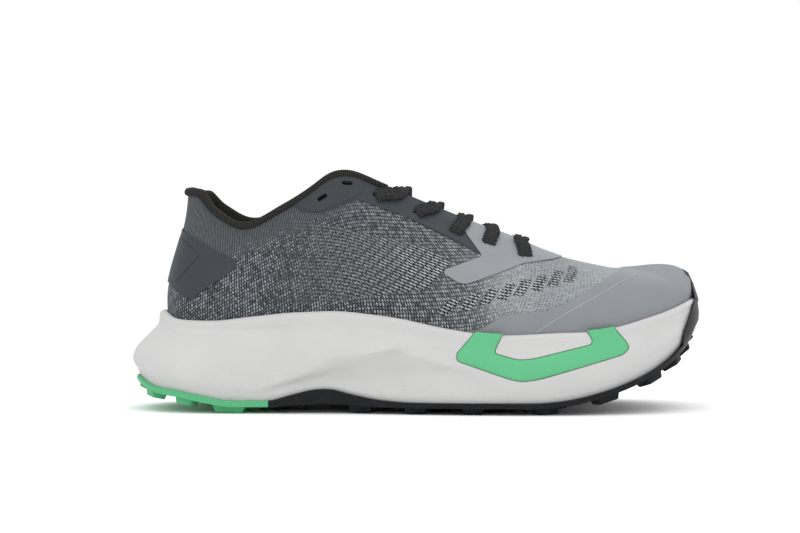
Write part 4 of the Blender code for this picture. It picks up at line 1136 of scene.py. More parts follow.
def blended_ring(points, share, closed=True):
    """A place on a smooth curve through points, at a share of the way along them."""
    count = len(points)
    spans = count if closed else count - 1
    at = share * spans
    i = min(int(at), spans - 1)
    f = at - i

    def pick(k):
        return points[k % count] if closed else points[min(max(k, 0), count - 1)]

    a, b, c, d = (pick(i + k) for k in (-1, 0, 1, 2))
    return (
        b * 2 + (c - a) * f + (a * 2 - b * 5 + c * 4 - d) * f * f + (b * 3 - a - c * 3 + d) * f**3
    ) / 2


def rounded_path(points, radii):
    """An open path with each inner corner turned into an arc, always with the same number of
    points for the same number of corners."""
    arcs = [
        arc(*points[i - 1:i + 2], radii[i], PATH_ARC) for i in range(1, len(points) - 1)
    ]
    path = [points[0]]
    for bend in arcs + [[points[-1]]]:
        start = path[-1]
        path += [start.lerp(bend[0], k / PATH_RUN) for k in range(1, PATH_RUN)]
        path += bend
    return path


# The pieces


def slot_cutters(side):
    """One helper mesh with a round-ended plug for each lace slot of a side."""
    plugs = []
    for share, height in SLOTS:
        t, v = spot_on_upper(share, height, side)
        centre, normal = upper_at(t, v), upper_normal(t, v)
        run = (upper_skin(t + 0.05, v) - upper_skin(t - 0.05, v)).normalized()
        if run.x < 0:
            run = -run
        rise = normal.cross(run)
        bpy.ops.object.select_all(action="DESELECT")
        bpy.ops.mesh.primitive_cylinder_add(vertices=24, radius=SLOT_WIDTH / 2, depth=1)
        plug = bpy.context.object
        for vert in plug.data.vertices:
            x, y, z = vert.co
            x += math.copysign((SLOT_LENGTH - SLOT_WIDTH) / 2, x)
            vert.co = centre + run * x + rise * y + normal * z * SLOT_REACH
        plugs.append(plug)
    return joined_mesh(plugs)


def make_upper(cutters):
    """The knitted wall, open at the collar, the throat and underneath."""
    across = LAP * KNIT_STEPS

    def lay(around, up):
        row = round(up * KNIT_ROWS) - SUNK_ROWS
        v = row / SUNK_ROWS if row < 0 else row / (KNIT_ROWS - SUNK_ROWS)
        return upper_at(round(around * across) % across / KNIT_STEPS, v)

    obj = merge_close(wrapped_grid("knit_upper", across, KNIT_ROWS, lay, level=SUNK_ROWS))
    chart_knit(obj)
    apply_modifier(obj, "SOLIDIFY", thickness=UPPER_WALL, offset=-1)
    smooth(cut_away(obj, *cutters), 50)
    return finish_piece(obj, engineered_knit(), "knit", "upper")


def chart_knit(obj):
    """Turns the upper's chart into the knit's own: how far from the heel on either side, and
    courses that sink towards the toe with the throat's line."""
    layer = obj.data.uv_layers[CLOTH]
    total = max(corner.uv.x for corner in layer.data)
    for loop in obj.data.loops:
        u, v = layer.data[loop.index].uv
        x = obj.data.vertices[loop.vertex_index].co.x
        layer.data[loop.index].uv = (min(u, total - u), v + COURSE_SINK(x / MM) * MM / CLOTH_UNIT)


def make_film(name, ends, low_v, outline, span, look, node=None, cutters=()):
    """A film fused to the upper between two stations and cut to an outline that is seen from the
    side. Without a node of its own it is a facet that stands on another film."""
    first, last = ends
    seat, thick = (FILM_SEAT, FILM) if node else (FACET_SEAT, FACET)

    def lay(around, up):
        v = low_v + (1 - low_v) * up
        return upper_at(first + (last - first) * around, v, seat + thick)

    obj = merge_close(wrapped_grid(name, round((last - first) * FILM_STEPS), FILM_ROWS, lay))
    apply_modifier(obj, "SOLIDIFY", thickness=thick, offset=-1)
    cutter = prism(name + "_outline", outline, *span, bpy.context.scene.collection)
    boolean(obj, cutter, "INTERSECT", "MANIFOLD")
    remove(cutter)
    smooth(cut_away(obj, *cutters))
    material, slot = look
    return finish_piece(obj, material, slot, *([node] if node else []))


def make_overlays(cutters):
    """The films on the upper, the facets that stand on the dark ones, and the toe cap's line."""
    grey = (film_look("toe_cap_film", srgb(128, 131, 135), 0.62), "grey_film")
    light = (film_look("light_eyestay_film", srgb(136, 139, 143), 0.62), "light_film")
    dark = (film_look("dark_eyestay_film", srgb(55, 59, 64), 0.6), "dark_film")
    line = film_look("toe_line_film", srgb(156, 159, 163), 0.6)
    ends = (7.5, LAP - 7.5)
    make_film("toe_cap_film", ends, 0.0, upper_outline(TOE_CAP), WIDE, grey, "toe_cap")
    ends, outline = (8, LAP - 8), upper_outline(EYESTAY_FRONT)
    make_film("front_eyestay_film", ends, 0.2, outline, WIDE, light, "eyestay_front", cutters)
    for (side, label), cutter in zip(BOTH_SIDES, cutters):
        ends = (4.5, 11.5) if side < 0 else (LAP - 11.5, LAP - 4.5)
        span = sorted((0.0, side * BALL_WIDTH))
        film, patch = upper_outline(EYESTAY_REAR), upper_outline(EYESTAY_PATCH, 3 * MM)
        node = "eyestay_" + label
        make_film(f"{label}_eyestay_film", ends, 0.4, film, span, dark, node, [cutter])
        make_film(f"{label}_eyestay_patch", ends, 0.4, patch, span, dark, cutters=[cutter])
    film, facet = upper_outline(HEEL_COUNTER), upper_outline(HEEL_FACET, 1 * MM)
    make_film("heel_counter_film", (-5, 5), 0.05, film, WIDE, dark, "heel_counter")
    make_film("heel_counter_facet", (-5, 5), 0.05, facet, WIDE, dark)
    for side, label in BOTH_SIDES:
        seam = seam_line(f"toe_cap_line_{label}", TOE_LINE, side)
        finish_piece(seam, line, "grey_film")


def seam_line(name, rows, side):
    """A fine raised line on a film, through points that are seen from the side."""
    shares, heights = zip(*rows)
    spots = []
    for share in np.linspace(shares[0], shares[-1], LINE_PARTS):
        t, v = spot_on_upper(share, float(np.interp(share, shares, heights)), side)
        spots.append(upper_at(t, v, FILM_SEAT + FILM))
    curve = bpy.data.curves.new(name, "CURVE")
    curve.dimensions = "3D"
    curve.bevel_depth = LINE_WIDTH / 2
    curve.bevel_resolution = 2
    curve.use_fill_caps = True
    spline = curve.splines.new("NURBS")
    spline.points.add(len(spots) - 1)
    for point, spot in zip(spline.points, spots):
        point.co = (*spot, 1)
    spline.use_endpoint_u = True
    spline.order_u = 4
    obj = bpy.data.objects.new(name, curve)
    bpy.context.scene.collection.objects.link(obj)
    only(obj)
    bpy.ops.object.convert(target="MESH")
    return smooth(bpy.context.object)


def make_collar(cutters):
    """The ribbed cuff that rolls over the edge, with its padding and lining."""

    def lay(length, around):
        return blended_ring(collar_ring(COLLAR_END * (2 * length - 1)), around)

    parts = 2 * COLLAR_END * COLLAR_STEPS
    obj = merge_close(wrapped_grid("padded_collar", parts, COLLAR_ROWS, lay))
    face_outwards(fill_holes(obj))
    smooth(cut_away(obj, *cutters), 60)
    return finish_piece(obj, ribbed_cuff(), "collar_knit", "collar")


def make_tongue():
    """The padded tongue, tucked under both edges of the throat, with a free top."""
    rows = [tongue_row(row) for row in steps(7.5, 11.5, 2)[::-1]]
    last, before = rows[-1], rows[-2]
    rise = Vector((-TONGUE_TOP, 0, 0.4 * TONGUE_TOP))
    for reach in (0.5, 1.0):
        rows.append(
            [a + rise * reach + Vector((0, (b.y - a.y) * 0.2, 0)) for a, b in zip(last, before)]
        )

    def lay(along_tongue, across):
        return rows[round(along_tongue * (len(rows) - 1))][round(across * TONGUE_PARTS)]

    obj = wrapped_grid("padded_tongue", len(rows) - 1, TONGUE_PARTS, lay)
    apply_modifier(obj, "SOLIDIFY", thickness=TONGUE_THICK, offset=-1)
    apply_modifier(obj, "SUBSURF", levels=2, render_levels=2)
    face_outwards(obj)
    smooth(obj, 60)
    return finish_piece(obj, tongue_mesh(), "tongue_mesh", "tongue")


def softened_copy(node, name, levels=2):
    """A smooth copy of a frame node."""
    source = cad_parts[node]
    obj = source.copy()
    obj.data = source.data.copy()
    obj.name = obj.data.name = name
    for key in list(obj.keys()):
        del obj[key]
    obj.parent = None
    bpy.context.scene.collection.objects.link(obj)
    merge_close(obj)
    edit_whole(obj, bpy.ops.mesh.tris_convert_to_quads)
    apply_modifier(obj, "SUBSURF", levels=levels, render_levels=levels)
    return smooth(obj, 60)


def make_insole():
    obj = softened_copy("insole", "cloth_insole")
    return finish_piece(obj, insole_cloth(), "insole_cloth", "insole")


def foam_rounding(t):
    """The radii of the foam's section at a station, from the cup to the underside."""
    stations = column(ROUNDING, ROUNDING_NAMES, "station")
    side = [
        float(np.interp(row_of(t), stations, column(ROUNDING, ROUNDING_NAMES, name)))
        for name in ROUNDING_NAMES[1:]
    ]
    return [radius * MM for radius in (*CUP_ROUNDING, *side, *BASE_ROUNDING)]


def foam_relief(x, z):
    """How far the soft ridges and troughs lift the foam's side at a place."""
    lift = 0.0
    for stand, width, points in FOAM_RIDGES:
        places, heights = zip(*points)
        inside = min(x / MM - places[0], places[-1] - x / MM)
        fade = min(max(inside / 12 + 0.3, 0.0), 1.0)
        miss = (z / MM - float(np.interp(x / MM, places, heights))) / width
        lift += stand * MM * fade * math.exp(-miss * miss)
    return lift


@lru_cache(None)
def foam_column(t):
    """The foam's section from the middle of the cup over the lip and down to the underside."""
    middle, out = spine(t), outward(t)
    side = side_profile(t)
    base = upper_skin(t, -1.0) + out * GAP
    base.z = cup_floor(base.x)
    mouth = on_side(t, GAP, bite(t).z)
    floor_mid, floor_spine = (base + middle) / 2, middle.copy()
    for point in (floor_mid, floor_spine):
        point.z = cup_floor(point.x)
    inset = on_side(t, *side[0]) - out * BASE_INSET
    bottom_mid, bottom_spine = (inset + middle) / 2, middle.copy()
    for point in (inset, bottom_mid, bottom_spine):
        point.z = sole_bottom(point.x)
    points = [floor_spine, floor_mid, base, mouth]
    points += [on_side(t, away, z) for away, z in reversed(side)]
    path = rounded_path(points + [inset, bottom_mid, bottom_spine], foam_rounding(t))
    low, high = side[1][1], side[5][1]
    for point in path:
        if low < point.z < high and (point - bite(t)).dot(out) > 1 * MM:
            ease = min(1.0, (point.z - low) / (4 * MM), (high - point.z) / (2 * MM))
            point += out * foam_relief(point.x, point.z) * ease
    return path


def make_midsole():
    """The foam cup with its lip, its sculpted side, the inserts' pockets and its curved base."""
    across = LAP * FOAM_STEPS

    def lay(around, up):
        points = foam_column(LAP * (round(around * across) % across) / across)
        return points[round(up * (len(points) - 1))]

    up = len(foam_column(0.0)) - 1
    obj = merge_close(wrapped_grid("foam_midsole", across, up, lay))
    face_outwards(obj)
    for side in (-1, 1):
        first, last = insert_span(side)
        stations = steps(first, last, 6)
        outer = [insert_column(t, 6 * MM) for t in stations]
        inner = [insert_column(t, -INSERT_DEPTH - GAP) for t in stations]
        pocket = slab("pocket", outer, inner, bpy.context.scene.collection)
        cut_to_outline(pocket, insert_outline(SIDE_INSERT, INSERT_ROUND, GROOVE), side)
        cut_away(obj, pocket)
        remove(pocket)
    smooth(obj, 50)
    return finish_piece(obj, moulded_foam(), "foam", "midsole")


def insert_span(side):
    return (8.0, 13.0) if side < 0 else (LAP - 13.0, LAP - 8.0)


@lru_cache(None)
def insert_column(t, off):
    """A column on the foam's side from its foot to over its lip, at a distance off it."""
    side = side_profile(t)
    lines = [on_side(t, out + off, z) for out, z in side[:6]]
    lines.append(on_side(t, side[6][0] + off, bite(t).z + 1.2 * MM))
    path = rounded_path(lines, INSERT_RADII)
    out = outward(t)
    for point in path:
        point += out * foam_relief(point.x, point.z)
    return path


def cut_to_outline(obj, outline, side):
    low, high = sorted((side * 20 * MM, side * BALL_WIDTH))
    cutter = prism("side_outline", outline, low, high, bpy.context.scene.collection)
    boolean(obj, cutter, "INTERSECT", "MANIFOLD")
    remove(cutter)


def ease_edges(obj, outline, width, sink, side):
    """Eases a patch down along its outline, as a moulded edge is rounded."""
    ends = [Vector(point) for point in outline]
    for vert in obj.data.vertices:
        here = Vector((vert.co.x, vert.co.z))
        nearest = width
        for a, b in zip(ends, ends[1:] + ends[:1]):
            run = b - a
            if run.length_squared:
                share = min(max((here - a).dot(run) / run.length_squared, 0.0), 1.0)
                nearest = min(nearest, (here - a - run * share).length)
        drop = 1 - nearest / width
        vert.co.y -= side * sink * drop * drop


def make_inserts():
    """The green inserts in both sides of the foam, standing a little proud of it."""
    material = green_foam()
    for side, label in BOTH_SIDES:
        first, last = insert_span(side)

        def lay(around, up):
            points = insert_column(first + (last - first) * around, INSERT_PROUD)
            return points[round(up * (len(points) - 1))]

        parts = len(insert_column(first, INSERT_PROUD)) - 1
        obj = wrapped_grid(f"green_insert_{label}", INSERT_PARTS, parts, lay)
        apply_modifier(obj, "SOLIDIFY", thickness=INSERT_DEPTH, offset=-1)
        outline = insert_outline(SIDE_INSERT, INSERT_ROUND)
        cut_to_outline(obj, outline, side)
        ease_edges(obj, outline, *INSERT_EASE, side)
        smooth(obj, 50)
        finish_piece(obj, material, "green_foam", "side_insert_" + label)


def make_lugs(name, lugs):
    """The lugs of a tread: each a cube drawn out to its tapered form, with rounded edges."""
    made = []
    for low, high in lugs:
        bpy.ops.object.select_all(action="DESELECT")
        bpy.ops.mesh.primitive_cube_add(size=1)
        lug_cube = bpy.context.object
        corners = {(-1, -1): 0, (1, -1): 1, (1, 1): 2, (-1, 1): 3}
        for vert in lug_cube.data.vertices:
            corner = corners[(math.copysign(1, vert.co.x), math.copysign(1, vert.co.y))]
            vert.co = (low if vert.co.z > 0 else high)[corner]
        made.append(lug_cube)
    obj = joined_mesh(made)
    obj.name = obj.data.name = name
    apply_modifier(obj, "BEVEL", width=LUG_ROUND, segments=2, limit_method="ANGLE")
    return smooth(obj, 30)


def make_tread(name, first, span, lugs, tones, slot, node):
    """A rubber tread, trimmed round the sole, and its lugs. It runs from a station on one side to
    the same one on the other side, round the heel or round the toe."""
    last = -first if first < 0 else LAP - first
    material = rubber_look(slot, *(srgb(*tone) for tone in tones))
    stations = steps(first, last, TREAD_STEPS)
    outer = [tread_rows(t, tread_climb(t), 1) for t in stations]
    inner = [tread_rows(t, tread_climb(t), 0) for t in stations]
    collection = bpy.context.scene.collection
    base = slab(name, outer, inner, collection, sealed=[True] * len(stations))
    outline = prism(name + "_outline", tread_outline(*span), *WIDE, collection)
    boolean(base, outline, "INTERSECT")
    remove(outline)
    smooth(base, 35)
    finish_piece(base, material, slot, node)
    finish_piece(make_lugs(name + "_lugs", lugs), material, slot, node)


def make_treads():
    pads = [[lug_at(pad, 0, *PAD_SIZE)] for pad in (HEEL_PAD, FOREFOOT_PAD)]
    lugs = paired_lugs(HEEL_LUGS) + pads[0]
    span, tones = (HEEL_TREAD_END, TREAD_SPLIT - GAP / 2), ((88, 172, 122), (116, 184, 144))
    make_tread("green_heel_tread", -5, span, lugs, tones, "green_rubber", "outsole_heel")
    lugs = paired_lugs(FOREFOOT_LUGS) + pads[1]
    span, tones = (TREAD_SPLIT + GAP / 2, place(1.05)), ((25, 26, 29), (58, 59, 62))
    make_tread("black_forefoot_tread", 3.5, span, lugs, tones, "black_rubber", "outsole_forefoot")


def lace_half(i, side_index, spots):
    """A strand from under its slot, over the eyestay and up to over the throat's middle, as places
    and the way that its flat faces there, and the station that it dives under on the far side."""
    t, v = spots[i][side_index]
    straight = i == len(spots) - 1
    following = spots[min(i + 1, len(spots) - 1)]
    lean = LACE_BAR if straight else row_of(following[1 - side_index][0]) - row_of(t)
    toeward = -side_of(t)
    stop = LACE_STOP if i < len(spots) - 2 else LACE_LAST_STOP
    shares = (LACE_OVER, 1.0, 1.0) if straight else (LACE_OVER, LACE_LEAVE, stop)
    over, leave, beyond = (t + toeward * lean * share for share in shares)
    far = LAP - beyond
    lie = FILM_SEAT + FILM + BRAID_THICK / 2
    over_v = v * 0.45 + 0.55
    hop = upper_at(over, over_v, lie + LACE_HOP)
    rise = upper_at(t, v, lie)
    to_throat = hop - rise
    near_edge, far_edge = (upper_at(station, 1.0, lie - LACE_HOP) for station in (leave, far))
    crown = tongue_row((row_of(leave) + row_of(far)) / 2)[4]
    up, face = Vector((0, 0, 1)), upper_normal(t, v)
    middle = (near_edge + far_edge) / 2
    middle.z = max(middle.z - LACE_SAG, crown.z + BRAID_THICK / 2)
    if side_index == 0 and not straight:
        middle.z += LACE_CROSS
    back = -to_throat.normalized()
    half = [
        (upper_at(t, v, off * MM) + back * shift * MM, back * backward + face * outside)
        for off, shift, backward, outside in SLOT_RISE
    ]
    half += [
        (rise + to_throat * 0.35 + face * 0.5 * MM, face),
        (hop, upper_normal(over, over_v)),
        (near_edge, upper_normal(leave, 1.0) + up * 0.3),
        (near_edge.lerp(middle, 0.5) + up * 0.1 * MM, up + face * 0.15),
        (middle, up),
    ]
    return half, far


def crossing(i, side_index, spots):
    """A whole strand: on from the throat's middle to under the far edge."""
    half, far = lace_half(i, side_index, spots)
    middle, up = half[-1]
    face = upper_normal(far, 1.0)
    under = -UPPER_WALL - BRAID_THICK * 0.6
    tuck, inner = upper_at(far, 1.0, under), upper_at(far, 0.88, under)
    return half + [
        (middle.lerp(tuck, 0.55) + up * 0.4 * MM, up + face * 0.3),
        (middle.lerp(tuck, 0.92), face + up * 0.2),
        (tuck.lerp(inner, 0.6), face),
    ]


def braided_cord(name, route):
    """A flat nubby braid along a smooth route: plump stitches in rows, and scalloped edges."""
    places, faces = zip(*((place_at, face.normalized()) for place_at, face in route))
    parts = CORD_STEPS * (len(places) - 1)
    curve = [blended_ring(places, k / parts, closed=False) for k in range(parts + 1)]
    turns = [blended_ring(faces, k / parts, closed=False) for k in range(parts + 1)]
    far = [0.0]
    for a, b in zip(curve, curve[1:]):
        far.append(far[-1] + (b - a).length)
    length = far[-1]
    count = max(8, round(length / LACE_STEP))

    @lru_cache(None)
    def frame_at(k):
        goal = length * k / count
        i = min(max(int(np.searchsorted(far, goal)) - 1, 0), parts - 1)
        share = (goal - far[i]) / max(far[i + 1] - far[i], 1e-9)
        here = curve[i].lerp(curve[i + 1], share)
        ahead = (curve[min(i + 4, parts)] - curve[max(i - 3, 0)]).normalized()
        flat = ahead.cross(turns[i].lerp(turns[i + 1], share)).normalized()
        return here, flat, flat.cross(ahead).normalized(), goal

    def lay(along_cord, around):
        here, flat, lift, goal = frame_at(round(along_cord * count))
        angle = 2 * math.pi * around
        wide, thick = math.cos(angle), math.sin(angle)
        wide = math.copysign(abs(wide) ** BRAID_SQUARE, wide)
        thick = math.copysign(abs(thick) ** BRAID_SQUARE, thick)
        rib = (wide + 1) / 2 * LACE_RIBS
        offset = 0.5 * (int(min(rib, LACE_RIBS - 0.01)) % 2)
        stitch = abs(math.sin(math.pi * (goal / LACE_STITCH + offset)))
        plump = abs(math.sin(math.pi * rib)) ** 0.6
        shift = EDGE_SHIFT if wide > 0 else 0.0
        edge_nub = abs(math.sin(math.pi * (goal / LACE_STITCH + shift)))
        face_nub = plump * (1 - FACE_STITCH + FACE_STITCH * stitch)
        a = wide * BRAID_WIDTH / 2 * (EDGE_SHARE + EDGE_NUB * edge_nub)
        b = thick * BRAID_THICK / 2 * (FACE_SHARE + FACE_NUB * face_nub)
        return here + flat * a + lift * b

    obj = merge_close(wrapped_grid(name, count, CORD_SIDES, lay))
    return smooth(face_outwards(fill_holes(obj)), 60)


def make_laces():
    """The lacing: crossings that pass through the slots, and a straight bar at the front."""
    material = lace_braid()
    spots = []
    for share, height in SLOTS[EMPTY_SLOTS:]:
        spots.append([spot_on_upper(share, height, side) for side, _ in BOTH_SIDES])
    last = len(spots) - 1
    for i in range(last):
        for side_index, (_, label) in enumerate(BOTH_SIDES):
            cord = braided_cord(f"lace_{i + 1}_{label}", crossing(i, side_index, spots))
            finish_piece(cord, material, "lace_braid", f"lace_{i + 1}")
    near, far = (lace_half(last, side_index, spots)[0] for side_index in (0, 1))
    bar = braided_cord(f"lace_{last + 1}_bar", near + far[-2::-1])
    finish_piece(bar, material, "lace_braid", f"lace_{last + 1}")


# Materials


def srgb(red, green, blue):
    """A colour from its everyday 0 to 255 values."""
    linear = []
    for value in (red, green, blue):
        c = value / 255
        linear.append(c / 12.92 if c <= 0.04045 else ((c + 0.055) / 1.055) ** 2.4)
    return (*linear, 1.0)


class Recipe:
    """A material being put together from nodes."""

    def __init__(self, name, roughness, specular, sheen=0.0):
        self.material = bpy.data.materials.new(name)
        self.material.use_nodes = True
        self.nodes = self.material.node_tree.nodes
        self.links = self.material.node_tree.links
        self.shader = self.nodes["Principled BSDF"]
        self.shader.inputs["Roughness"].default_value = roughness
        self.shader.inputs["Sheen Weight"].default_value = sheen
        self.shader.inputs["Sheen Roughness"].default_value = 0.5
        self.shader.inputs["Specular IOR Level"].default_value = specular

    def node(self, kind, inputs=(), **settings):
        made = self.nodes.new(kind)
        for name, value in settings.items():
            setattr(made, name, value)
        for name, value in dict(inputs).items():
            self.feed(made.inputs[name], value)
        return made

    def feed(self, socket, value):
        if isinstance(value, bpy.types.NodeSocket):
            self.links.new(value, socket)
        elif value is not None:
            socket.default_value = value

    def math(self, operation, a, b=None, c=None, clamp=False):
        """A sum of one kind, on numbers and on what other nodes give."""
        made = self.node("ShaderNodeMath", operation=operation, use_clamp=clamp)
        for socket, value in zip(made.inputs, (a, b, c)):
            self.feed(socket, value)
        return made.outputs[0]

    def plus(self, a, b):
        return self.math("ADD", a, b)

    def less(self, a, b):
        return self.math("SUBTRACT", a, b)

    def times(self, a, b):
        return self.math("MULTIPLY", a, b)

    def line(self, value, slope, start):
        """A value times a slope, from a start."""
        return self.math("MULTIPLY_ADD", value, slope, start)

    def wave(self, value, pitch, phase=0.0):
        """Even ribs from 0 to 1, with a pitch in millimetres."""
        return self.line(self.math("SINE", self.line(value, 2 * math.pi / pitch, phase)), 0.5, 0.5)

    def sway(self, vector, size, *detail):
        """Soft noise round 0."""
        return self.less(self.noise(vector, size, *detail), 0.5)

    def mix(self, factor, a, b):
        made = self.node("ShaderNodeMix", data_type="RGBA", blend_type="MIX")
        self.feed(made.inputs[0], factor)
        self.feed(made.inputs[6], a)
        self.feed(made.inputs[7], b)
        return made.outputs[2]

    def shoe(self):
        """The place on the shoe, in millimetres."""
        at = self.node("ShaderNodeTexCoord").outputs["Object"]
        return self.scaled(at, 1 / MM)

    def cloth(self):
        """The place on the cloth's own chart, in millimetres."""
        at = self.node("ShaderNodeUVMap", uv_map=CLOTH).outputs[0]
        return self.scaled(at, CLOTH_UNIT / MM)

    def scaled(self, vector, factor):
        made = self.node("ShaderNodeVectorMath", operation="SCALE")
        self.feed(made.inputs[0], vector)
        self.feed(made.inputs["Scale"], factor)
        return made.outputs[0]

    def split(self, vector):
        made = self.node("ShaderNodeSeparateXYZ", {"Vector": vector})
        return made.outputs

    def joined(self, x, y, z=0.0):
        return self.node("ShaderNodeCombineXYZ", {"X": x, "Y": y, "Z": z}).outputs[0]

    def noise(self, vector, size, detail=2.0, roughness=0.5):
        """Soft noise with patches of about a size, in millimetres, from 0 to 1."""
        inputs = {"Vector": vector, "Scale": 1 / size, "Detail": detail, "Roughness": roughness}
        return self.node("ShaderNodeTexNoise", inputs).outputs[0]

    def grain(self, vector, size):
        """Small round cells, as the distance from each cell's middle."""
        made = self.node("ShaderNodeTexVoronoi", {"Vector": vector, "Scale": 1 / size})
        return made.outputs["Distance"]

    def ramp(self, value, stops):
        """A colour that runs through stops of place and colour."""
        made = self.node("ShaderNodeValToRGB")
        made.color_ramp.interpolation = "LINEAR"
        elements = made.color_ramp.elements
        while len(elements) < len(stops):
            elements.new(0.5)
        for element, (position, colour) in zip(elements, stops):
            element.position = position
            element.color = colour
        self.feed(made.inputs[0], value)
        return made.outputs[0]

    def band(self, value, low, high):
        """0 below low, 1 above high and a soft step between."""
        made = self.node("ShaderNodeMapRange", interpolation_type="SMOOTHSTEP")
        self.feed(made.inputs["Value"], value)
        made.inputs["From Min"].default_value = low
        made.inputs["From Max"].default_value = high
        return made.outputs[0]

    def beyond(self, value, low, high):
        """1 below low and 0 above high."""
        return self.less(1.0, self.band(value, low, high))

    def bricks(self, vector, long, tall, gap, soft, low):
        """Rows of short dashes, 1 on a dash and 0 between, some dashes dimmer than others."""
        made = self.node(
            "ShaderNodeTexBrick",
            {
                "Vector": vector, "Scale": 1.0, "Brick Width": long, "Row Height": tall,
                "Mortar Size": gap, "Mortar Smooth": soft, "Bias": 0.0,
                "Color1": (1, 1, 1, 1), "Color2": (low, low, low, 1), "Mortar": (0, 0, 0, 1),
            },
        )
        return made.outputs["Color"]

    def bump(self, height, distance, strength):
        made = self.node("ShaderNodeBump", {"Height": height, "Distance": distance})
        made.inputs["Strength"].default_value = strength
        self.links.new(made.outputs[0], self.shader.inputs["Normal"])

    def colour(self, value):
        self.feed(self.shader.inputs["Base Color"], value)

    def rough(self, value):
        self.feed(self.shader.inputs["Roughness"], value)


def course_sink():
    """How far the knit's courses have sunk at a place along the shoe, in millimetres."""
    places, slopes = zip(*COURSE_SLOPES)
    curve = graph(places, slopes)
    marks = list(range(int(places[0]), int(places[-1]) + 1))
    sums = [0.0]
    for x in marks[1:]:
        sums.append(sums[-1] + curve(x))

    def at(x):
        i = min(max(x - marks[0], 0.0), len(marks) - 1.001)
        whole = int(i)
        return sums[whole] + (i - whole) * (sums[whole + 1] - sums[whole])

    return at


COURSE_SINK = course_sink()


def engineered_knit():
    """Dark knit at the heel that lightens to the toe: ribs by the collar, then rows of light
    dashes, a fine mesh on the vamp, and rows of open vents at the quarter and the vamp."""
    k = Recipe("engineered_knit", roughness=0.92, specular=0.12, sheen=0.04)
    cloth, shoe = k.cloth(), k.shoe()
    x, _, z = k.split(shoe)
    u, v, _ = k.split(cloth)
    u_loose = k.line(k.sway(cloth, 2.2, 1.0), 0.8, u)
    v_loose = k.line(k.sway(cloth, 2.6), 1.0, v)

    # The ground and the yarn, from the heel to the toe
    first, last = KNIT_TONES[0][0], KNIT_TONES[-1][0]
    reach = k.math("DIVIDE", k.less(x, first), last - first)
    stops = [((mark - first) / (last - first), low, high) for mark, low, high in KNIT_TONES]
    ground = k.ramp(reach, [(at, srgb(*low)) for at, low, _ in stops])
    yarn = k.ramp(reach, [(at, srgb(*high)) for at, _, high in stops])

    # Upright dashes, the vamp's mesh and the collar's ribs
    upright = k.joined(k.line(u_loose, 0.25, v_loose), u_loose)
    dashes = k.bricks(upright, 1.8, 1.25, 0.27, 0.35, 0.2)
    pins = k.bricks(k.joined(u_loose, v_loose), 1.5, 1.1, 0.27, 0.5, 0.35)
    mesh = k.line(pins, -0.85, 1.0)
    dash = k.mix(k.band(k.line(k.noise(shoe, 9.0), 24, x), *MESH_STARTS), dashes, mesh)
    breaks = k.joined(k.times(u, 2.2), k.times(v, 0.5))
    rib = k.times(k.wave(u, 1.02, k.times(v, 0.35)), k.plus(0.35, k.noise(breaks, 1.0, 0.0)))
    slope, height = CUFF_LINE
    ragged = k.line(k.sway(cloth, 5.0), 16, k.less(k.line(x, slope, z), height))
    pattern = k.mix(k.band(ragged, -3.0, 7.0), dash, k.times(rib, 0.52))
    fleck = k.line(k.noise(cloth, 0.7, 1.0), 0.6, 0.66)
    body = k.mix(k.times(pattern, fleck), ground, yarn)

    # The vents: dark holes between light bars, on a plainer ground
    zones = vent_zones(k, x, z, u, v)
    holes = k.bricks(k.joined(u, v), VENT_PITCH, VENT_PITCH, 0.40, 0.25, 1.0)
    shifted = k.joined(u, k.plus(v, VENT_PITCH / 2))
    bars = k.bricks(shifted, 2 * VENT_PITCH, VENT_PITCH, 0.52, 0.35, 0.6)
    body = k.mix(k.times(zones, 0.85), body, k.mix(0.22, ground, yarn))
    body = k.mix(k.times(bars, k.times(zones, zones)), body, srgb(176, 179, 182))
    vents = k.times(holes, zones)
    k.colour(k.mix(vents, body, srgb(11, 12, 14)))
    k.bump(k.line(vents, -1.6, pattern), 0.35 * MM, 0.7)
    return k.material


def vent_zones(k, x, z, u, v):
    """Where the knit has its vents: a slanted patch on the quarter, fainter to the heel, and
    stepped groups that climb over the vamp's side."""
    ceiling = k.math("MINIMUM", *(k.line(x, slope, height) for slope, height in VENT_CEILINGS))
    floor = k.math("MAXIMUM", *(k.line(x, slope, height) for slope, height in VENT_FLOORS))
    room = k.math("MINIMUM", k.less(z, floor), k.less(ceiling, z))
    patches = k.line(k.noise(k.joined(x, z), 7.0), 0.9, 0.35)
    strength = k.math("MULTIPLY", k.line(x, 0.0145, -0.08), patches, clamp=True)
    quarter = k.times(k.band(room, -0.6, 0.6), k.times(strength, k.band(x, 2.0, 8.0)))
    step = k.math("FRACT", k.math("DIVIDE", k.line(v, VAMP_SKEW, u), VAMP_GROUP))
    start = k.line(k.less(step, 0.5), VAMP_STEP, x)
    above = k.less(z, k.line(start, *VAMP_LINE))
    deep = k.beyond(k.less(k.math("ABSOLUTE", above), VAMP_HALF), -0.3, 0.3)
    ends = k.times(k.band(x, *VAMP_ENDS[:2]), k.beyond(x, *VAMP_ENDS[2:]))
    group = k.times(k.band(step, 0.10, 0.13), k.beyond(step, 0.87, 0.90))
    return k.math("MAXIMUM", quarter, k.times(k.times(deep, ends), group))


def film_look(name, tone, roughness, mottling=0.1):
    """A thin fused film with a fine matte grain."""
    k = Recipe(name, roughness, 0.2)
    shoe = k.shoe()
    fine = k.noise(shoe, 0.35, 2.0, 0.7)
    light = tuple(min(1.0, c * (1 + mottling)) for c in tone[:3]) + (1.0,)
    dark = tuple(c * (1 - mottling) for c in tone[:3]) + (1.0,)
    mixed = k.mix(k.noise(shoe, 14.0, 3.0), dark, light)
    k.colour(k.mix(k.times(fine, 0.35), mixed, dark))
    k.rough(k.line(fine, 0.18, roughness - 0.09))
    k.bump(fine, 0.05 * MM, 0.5)
    return k.material


